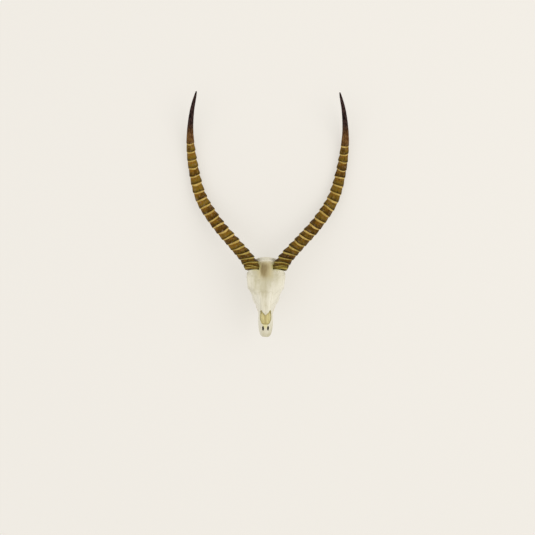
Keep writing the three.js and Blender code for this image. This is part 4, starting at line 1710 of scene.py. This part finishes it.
@dataclass
class ToothRow:
    """The six cheek teeth of one side of the upper jaw."""

    side: Side
    stand: Stand
    gap: float = 0.15
    height: float = 3.6
    in_socket: float = 1.2
    slant: float = 26.0
    sides: int = 72
    socket_gap: float = 0.12
    seat_gap: float = 0.15
    sizes: tuple[ToothSize, ...] = (
        ToothSize("premolar_2", 1.7, 1.5, 1), ToothSize("premolar_3", 2.0, 1.8, 1),
        ToothSize("premolar_4", 2.0, 2.1, 1), ToothSize("molar_1", 2.9, 2.4, 2),
        ToothSize("molar_2", 3.3, 2.5, 2), ToothSize("molar_3", 3.4, 2.4, 2),
    )
    cheek: Stops = ((0.12, 1), (0.5, 0.8), (0.88, 0.96), (1, 0.75))
    tongue: Stops = ((0.9, 0.7), (0.5, 1), (0.1, 0.7))
    row: tuple[Point, ...] = (
        (3.75, 14.6, -9.2), (4.35, 18.2, -11.2), (5.75, 23.2, -13.8), (6.1, 29.3, -16.2),
    )
    taper: Stops = ((0, 0.84), (1.2, 0.95), (2.6, 1.0), (3.2, 0.98))
    edge: float = 0.3
    edge_inset: float = 0.22
    crown_middle: float = 0.04
    crown_edge: Edge = (0.97, 0.86)
    fold_depth: float = 0.42
    dentine_depth: float = 0.10
    root_end: Edge = (2.3, 1.0)
    fold_at: Edge = (0.28, 0.12)
    dentine_at: Edge = (0.62, 0.13)

    def __post_init__(self) -> None:
        """Lays the row's line."""
        self.path = Path([(self.side.value * x, y, z) for x, y, z in self.row])
        slant = math.radians(self.slant)
        self.down = np.array([0.0, -math.sin(slant), -math.cos(slant)])

    def outline(self, size: ToothSize, grown: float = 0.0) -> Corners:
        """Lays a crown's outline: lobes that bulge to the tongue side, fused.

        Args:
            size: The tooth.
            grown: How much further out it runs all round.

        Returns:
            Points along the row and across it.
        """
        lobe = size.length / size.lobes
        half = self.side.value * size.width / 2
        starts = [i * lobe - size.length / 2 for i in range(size.lobes)]
        points = [(-size.length / 2, half * self.cheek[-1][1])]
        points += [(start + lobe * share, half * out) for start in starts for share, out in self.cheek]
        points += [
            (start + lobe * share, -half * out) for start in starts[::-1] for share, out in self.tongue
        ]
        smooth = Path([(x, y, 0.0) for x, y in points], closed=True)
        spots = smooth.at(np.arange(self.sides) / self.sides)[:, :2]
        growth = 1 + 2 * grown / np.array([size.length, size.width])
        return spots * growth

    def place(self, middle: float, spots: Corners, depth: Corners) -> Corners:
        """Places a tooth's points on the row.

        Args:
            middle: How far along the row the tooth's middle is.
            spots: Points along the row and across it, a row for each depth.
            depth: How far down out of the socket's floor each one is.

        Returns:
            The points in the skull's axes.
        """
        share = self.path.share_at(np.array([middle]))
        ahead = self.path.heading(share)[0]
        out = np.cross(self.down, ahead)
        out /= np.linalg.norm(out)
        forward = np.cross(out, self.down)
        base = self.path.at(share)[0] - self.down * self.in_socket
        along_row = spots[..., 0, None] * forward
        across = spots[..., 1, None] * out
        return base + along_row + across + depth[..., None] * self.down

    def middles(self) -> list[float]:
        """How far along the row the middle of each tooth is.

        Returns:
            The distances, from the front.
        """
        reached = self.gap
        found = []
        for size in self.sizes:
            found.append(reached + size.length / 2)
            reached += size.length + self.gap
        return found

    def trough(self) -> bpy.types.Mesh:
        """Makes the sockets that the roots stand in, which run into each other.

        Returns:
            Their mesh.
        """
        depth = np.linspace(-self.seat_gap, self.height, 10)
        levels = np.repeat(depth[:, None], self.sides, axis=1)
        sockets = []
        for size, middle in zip(self.sizes, self.middles()):
            spots = np.repeat(self.outline(size, self.socket_gap)[None], len(depth), axis=0)
            sockets.append(loft(self.place(middle, spots, levels)).mesh)
        return finished_mesh(gathered(sockets), "sockets")

    def build(self, material: bpy.types.Material) -> list[bpy.types.Object]:
        """Makes the six teeth and dresses them.

        Args:
            material: Their material.

        Returns:
            The teeth, from the front.
        """
        return [self.tooth(size, middle, material) for size, middle in zip(self.sizes, self.middles())]

    def tooth(self, size: ToothSize, middle: float, material: bpy.types.Material) -> bpy.types.Object:
        """Makes one tooth.

        Args:
            size: Its sizes.
            middle: How far along the row its middle is.
            material: Its material.

        Returns:
            The tooth.
        """
        wall = np.linspace(0, self.height - self.edge, 20)
        curve = np.linspace(0, math.pi / 2, 6)[1:]
        inset = self.edge_inset * (1 - np.cos(curve)) / (size.width / 2)
        crown = np.linspace(1 - inset[-1], self.crown_middle, 18)[1:]
        scale = np.concatenate([along(self.taper, wall), along(self.taper, wall[-1:]) * (1 - inset), crown])
        rounded = wall[-1] + self.edge * np.sin(curve)
        level = np.concatenate([wall, rounded, np.full(len(crown), self.height)])
        spots = self.outline(size)[None] * scale[:, None, None]
        on_crown = ramp(scale, *self.crown_edge)[:, None] * (level > self.height - 0.01)[:, None]
        fold, dentine = (part * on_crown for part in self.crown_pattern(size, spots))
        depth = np.repeat(level[:, None], self.sides, axis=1)
        depth = depth - self.fold_depth * fold - self.dentine_depth * dentine
        lofted = loft(self.place(middle, spots, depth), f"{self.side.word}_{size.name}")
        pick = (lofted.ring, lofted.spoke)
        Surface(lofted.mesh).write(
            spot=np.stack([spots[..., 0], spots[..., 1], depth], axis=2)[pick],
            root=ramp(depth, *self.root_end)[pick],
            fold=fold[pick],
            dentine=dentine[pick],
        )
        obj = new_object(lofted.mesh.name, lofted.mesh)
        return show(self.stand, obj, material, Slot.TOOTH, f"{size.name}_{self.side.word}")

    def crown_pattern(self, size: ToothSize, spots: Corners) -> tuple[Corners, Corners]:
        """Draws the folds of the grinding face.

        Args:
            size: The tooth.
            spots: Points along the row and across it.

        Returns:
            How much each point is in a crescent fold, and how much it is in the softer dentine.
        """
        lobe = size.length / size.lobes
        reaches = []
        for i in range(size.lobes):
            middle = (i + 0.5) * lobe - size.length / 2
            reaches.append(np.hypot((spots[..., 0] - middle) / (lobe / 2), spots[..., 1] / (size.width / 2)))
        fold, dentine = (
            np.max([np.exp(-(((reach - at) / width) ** 2)) for reach in reaches], axis=0)
            for at, width in (self.fold_at, self.dentine_at)
        )
        return fold, dentine


@dataclass
class NoseScrolls:
    """The thin bones in the nose opening: a sloping floor, an upright plate and ribbed scrolls beside it."""

    stand: Stand
    ground: Bar = Bar(
        ((0, 7.4, 0.0, 1.7, 0.6), (0, 9.6, -0.3, 3.1, 0.8), (0, 13.5, -0.7, 3.6, 1.2),
         (0, 17, -1.2, 3.5, 1.3), (0, 21, -3.0, 3.2, 1.3)),
    )
    plate: Bar = Bar(((0, 9.0, 0.1, 0.2, 0.5), (0, 12.5, -0.6, 0.22, 1.1), (0, 18.5, -2.2, 0.22, 1.8)))
    scroll: Bar = Bar(
        ((1.1, 9.4, 0.1, 0.4, 0.4), (1.85, 12.6, -0.3, 1.25, 0.95), (1.95, 16.0, -0.9, 1.5, 1.3),
         (1.8, 20.5, -2.2, 1.4, 1.4)),
    )
    scroll_height: Stops = ((9.4, 0.1), (12.6, -0.3), (16, -0.9), (20.5, -2.2))
    scroll_middle: float = 1.7
    rib: float = 0.22
    ribs: int = 5
    grain: float = 0.13
    bare_front: Zone = Zone(lengthways=((9.4, 7.9),))
    bare_sides: Zone = Zone(across=((1.8, 3.4),))
    groove: Zone = Zone(across=((1.3, 0.2),), lengthways=((7.8, 9.2),), middle=-0.15)

    def build(self) -> bpy.types.Object:
        """Makes the bones as one piece and dresses them.

        Returns:
            The piece.
        """
        shells = [self.ground.mesh(), self.plate.mesh()]
        for side in Side:
            mesh = self.scroll.mesh(side)
            surface = Surface(mesh)
            x, y, z = surface.places.T
            turn = np.arctan2(z - along(self.scroll_height, y), side.value * x - self.scroll_middle)
            surface.move_out(self.rib * np.cos(self.ribs * turn))
            shells.append(mesh)
        piece = Workpiece("nose_scrolls", shells)
        piece.fuse(self.grain)
        piece.soften(2)
        surface = Surface(piece.mesh)
        places = surface.places
        rim = np.maximum(self.bare_front.share(places), self.bare_sides.share(places))
        surface.write(spot=places, rim=rim, groove=self.groove.share(places))
        return show(self.stand, piece.object, LiningFinish().material(), Slot.BONE)


@dataclass
class Studio:
    """A plain pale floor, soft light and the camera."""

    floor_half: float = 3.0
    floor_colour: Colour = screen(156, 155, 154)
    floor_glow: float = 0.6
    floor_shade: float = 0.985
    backdrop: Colour = screen(241, 237, 229)
    sky: Colour = screen(231, 227, 219)
    lens: float = 85.0
    distance: float = 822.0
    aim: tuple[float, float] = (0.955, 45.8)
    roll: float = 0.0085

    def floor(self) -> bpy.types.Object:
        """Makes the floor.

        Returns:
            The floor.
        """
        shape = bmesh.new()
        bmesh.ops.create_grid(shape, x_segments=8, y_segments=8, size=self.floor_half)
        obj = new_object("floor", mesh_of(shape, "floor"))
        nodes = Nodes("floor")
        place = nodes.add("ShaderNodeTexCoord", output="Object")
        clouds = nodes.noise(place, (3, 3, 3), 2)
        shade = tuple(part * self.floor_shade for part in self.floor_colour[:3])
        colour = nodes.mix(clouds, self.floor_colour, (*shade, 1.0))
        glow = {"Emission Color": self.backdrop, "Emission Strength": self.floor_glow}
        obj.data.materials.append(nodes.close(colour, 0.9, 0.1, glow))
        return obj

    def light(self, name: str, place: Point, size: float, power: float, colour: Colour) -> None:
        """Hangs a soft square light that looks at the skull.

        Args:
            name: What it is called.
            place: Where it is, in metres.
            size: Its side, in metres.
            power: Its strength in watts.
            colour: Its colour.
        """
        lamp = bpy.data.lights.new(name, "AREA")
        lamp.size = size
        lamp.energy = power
        lamp.color = colour[:3]
        obj = new_object(name, lamp)
        obj.location = place
        obj.rotation_euler = (-Vector(place)).to_track_quat("-Z", "Y").to_euler()
        obj.visible_camera = False

    def build(self, stand: Stand) -> None:
        """Sets the stage, the lights and the camera.

        Args:
            stand: How the skull lies, which the camera faces squarely.
        """
        self.floor()
        self.light("key", (0.7, 0.2, 0.95), 0.8, 3.9, screen(255, 251, 243))
        self.light("fill", (-0.6, -0.1, 1.0), 1.0, 1.8, screen(250, 250, 255))
        world = bpy.data.worlds.new("studio")
        world.use_nodes = True
        background = world.node_tree.nodes["Background"]
        background.inputs["Color"].default_value = self.sky
        background.inputs["Strength"].default_value = 1.0
        bpy.context.scene.world = world
        bpy.context.scene.view_settings.view_transform = "Standard"

        camera = bpy.data.cameras.new("camera")
        camera.lens = self.lens
        camera.sensor_width = 36.0
        camera.clip_start = 0.01
        obj = new_object("camera", camera)
        obj.location = stand.matrix() @ Vector((*self.aim, self.distance))
        roll = Matrix.Rotation(self.roll, 4, "Z")
        obj.rotation_euler = (rotation(-stand.tilt, "X") @ roll).to_euler()
        bpy.context.scene.camera = obj


CHEEKBONE = (
    (4.6, 20.5, -8.4, 1.0, 1.4), (7.4, 27.2, -9.4, 1.3, 2.4), (10.0, 32, -9.2, 1.1, 2.1),
    (11.0, 36, -9.4, 1.0, 1.7), (11.2, 40, -10.2, 0.85, 1.4), (10.2, 44.3, -12.4, 0.9, 1.4),
    (7.6, 47.4, -14.6, 1.4, 1.6), (5.6, 48.2, -15.0, 1.4, 1.6),
)
BEFORE_EYE = ((5.0, 25.5, -1.6, 1.6), (7.2, 29.5, -2.0, 2.0), (9.3, 33.0, -3.0, 2.2))
BEHIND_EYE = ((9.2, 41.9, 0.4, 1.6), (10.7, 42.0, -4, 1.0, 1.2), (11.1, 41.4, -9.8, 1.0, 1.3))
HORN_SEAT = ((6.5, 35.5, -2.2, 2.4), (7.2, 39.5, -1.9, 3.7), (7.3, 43.0, -1.1, 3.8), (8.3, 45.6, -0.6, 4.1))
PRONG = (
    (5.9, 48.0, -15.5, 1.9, 1.5), (6.2, 46.6, -19.6, 1.3, 1.3), (6.0, 44.9, -24.2, 1.0, 0.8),
    (5.9, 44.2, -26.6, 0.8, 0.6),
)
EAR_TUBE = ((6.0, 45.6, -15.6, 1.2), (8.0, 46.0, -16.4, 1.0))
PALATE_WING = ((2.9, 28, -14.2, 0.6, 1.8), (2.8, 33, -14.2, 0.5, 2.2), (2.5, 38, -15.6, 0.45, 1.6))
BETWEEN_EYES = ((0, 28, -7, 4.4, 6.5), (0, 36, -6.4, 4.0, 5.8), (0, 43, -8.5, 5.0, 6.5))
CREST = (
    (-7.2, 48.4, -12, 0.7), (-5.9, 50.9, -8, 0.8), (0, 51.7, -5.9, 0.9), (5.9, 50.9, -8, 0.8),
    (7.2, 48.4, -12, 0.7),
)
SKULL_BASE = ((0, 47.6, -18.8, 3.2, 1.8), (0, 41, -17.2, 2.4, 1.4), (0, 32, -12.6, 1.8, 1.4))
PALATE_VAULT = (
    (0, 7, -6.4, 1.7, 0.9), (0, 14, -9.3, 2.4, 1.1), (0, 20, -12.4, 2.9, 1.5), (0, 29.5, -17.1, 4.2, 1.9),
    (0, 33, -18.4, 4.6, 2),
)
THROAT = ((0, 29.5, -12.2, 1.7, 1.2), (0, 34, -14.0, 2.0, 2.0), (0, 39, -18.2, 2.1, 2.4))
CORD_HOLE = ((0, 52, -18.2, 1.75), (0, 44, -14.5, 1.75))
BRAINCASE = Ball((0, 45.0, -8.8), (7.3, 7.2, 8.6))
BACK_OF_HEAD = Ball((0, 48.4, -12.2), (7.3, 2.4, 7.2), -24.8)
EAR_DRUM = Ball((4.2, 43.4, -18.6), (1.9, 2.8, 2.5), -25)
NECK_JOINT = Ball((2.55, 47.9, -18.2), (2.2, 2.3, 2.7), -25)
EYE_SOCKET = Ball((12.0, 37.2, -3.6), (5.2, 4.35, 4.3))
EYE_SOCKET_END = Ball((7.6, 38.2, -4.6), (3.2, 3.2, 3.0))
CHEEK_NERVE_HOLE = Ball((4.9, 15.8, -5.9), (0.7, 1.1, 0.6), -30)
NOSE_HOLLOW = Ball((0, 16.2, -3.0), (3.2, 6.2, 3.6), -18)
NOSE_SLIT = Ball((1.6, 6.3, 0.6), (0.6, 1.75, 2.6))
BROW_HOLE = Ball((4.7, 37.4, 3.0), (0.42, 0.75, 1.0))
BACK_HOLES = (Ball((8.6, 46.2, -16.8), (0.9, 0.6, 0.6)), Ball((3.9, 44.2, -22.0), (0.5, 0.7, 0.7)))
SEAMS_ABOVE = (
    ((0, 14.6), (0, 50)),
    ((0.1, 30.6), (1.6, 29.2), (3.0, 30.4), (4.4, 29.6)),
    ((3.2, 18.4), (3.3, 22.5), (3.6, 26.5), (4.4, 29.6)),
    ((0, 50.2), (2.4, 49.6), (4.6, 48.8)),
)
SEAMS_SIDE = (
    ((18.2, 1.0), (15.5, -1.4), (12.5, -3.2), (10.5, -5.8)),
    ((21.5, 0.6), (23.5, -3.5), (22.0, -6.5), (24.0, -10.5)),
    ((24.0, -3.6), (28.5, -4.4), (31.5, -3.0)),
    ((33.5, -9.4), (37.5, -10.4)),
)


def main() -> None:
    """Builds the stage and every piece of the skull."""
    logging.basicConfig(level=logging.INFO, format="%(name)s %(message)s")
    stand = Stand()
    Studio().build(stand)
    horns = [Horn(side, stand) for side in Side]
    teeth = [ToothRow(side, stand) for side in Side]
    Cranium(stand, horns, teeth).build()
    horn_material = HornFinish().material()
    for horn in horns:
        horn.build(horn_material)
    tooth_material = ToothFinish().material()
    for row in teeth:
        row.build(tooth_material)
    NoseScrolls(stand).build()


if __name__ == "__main__":
    main()
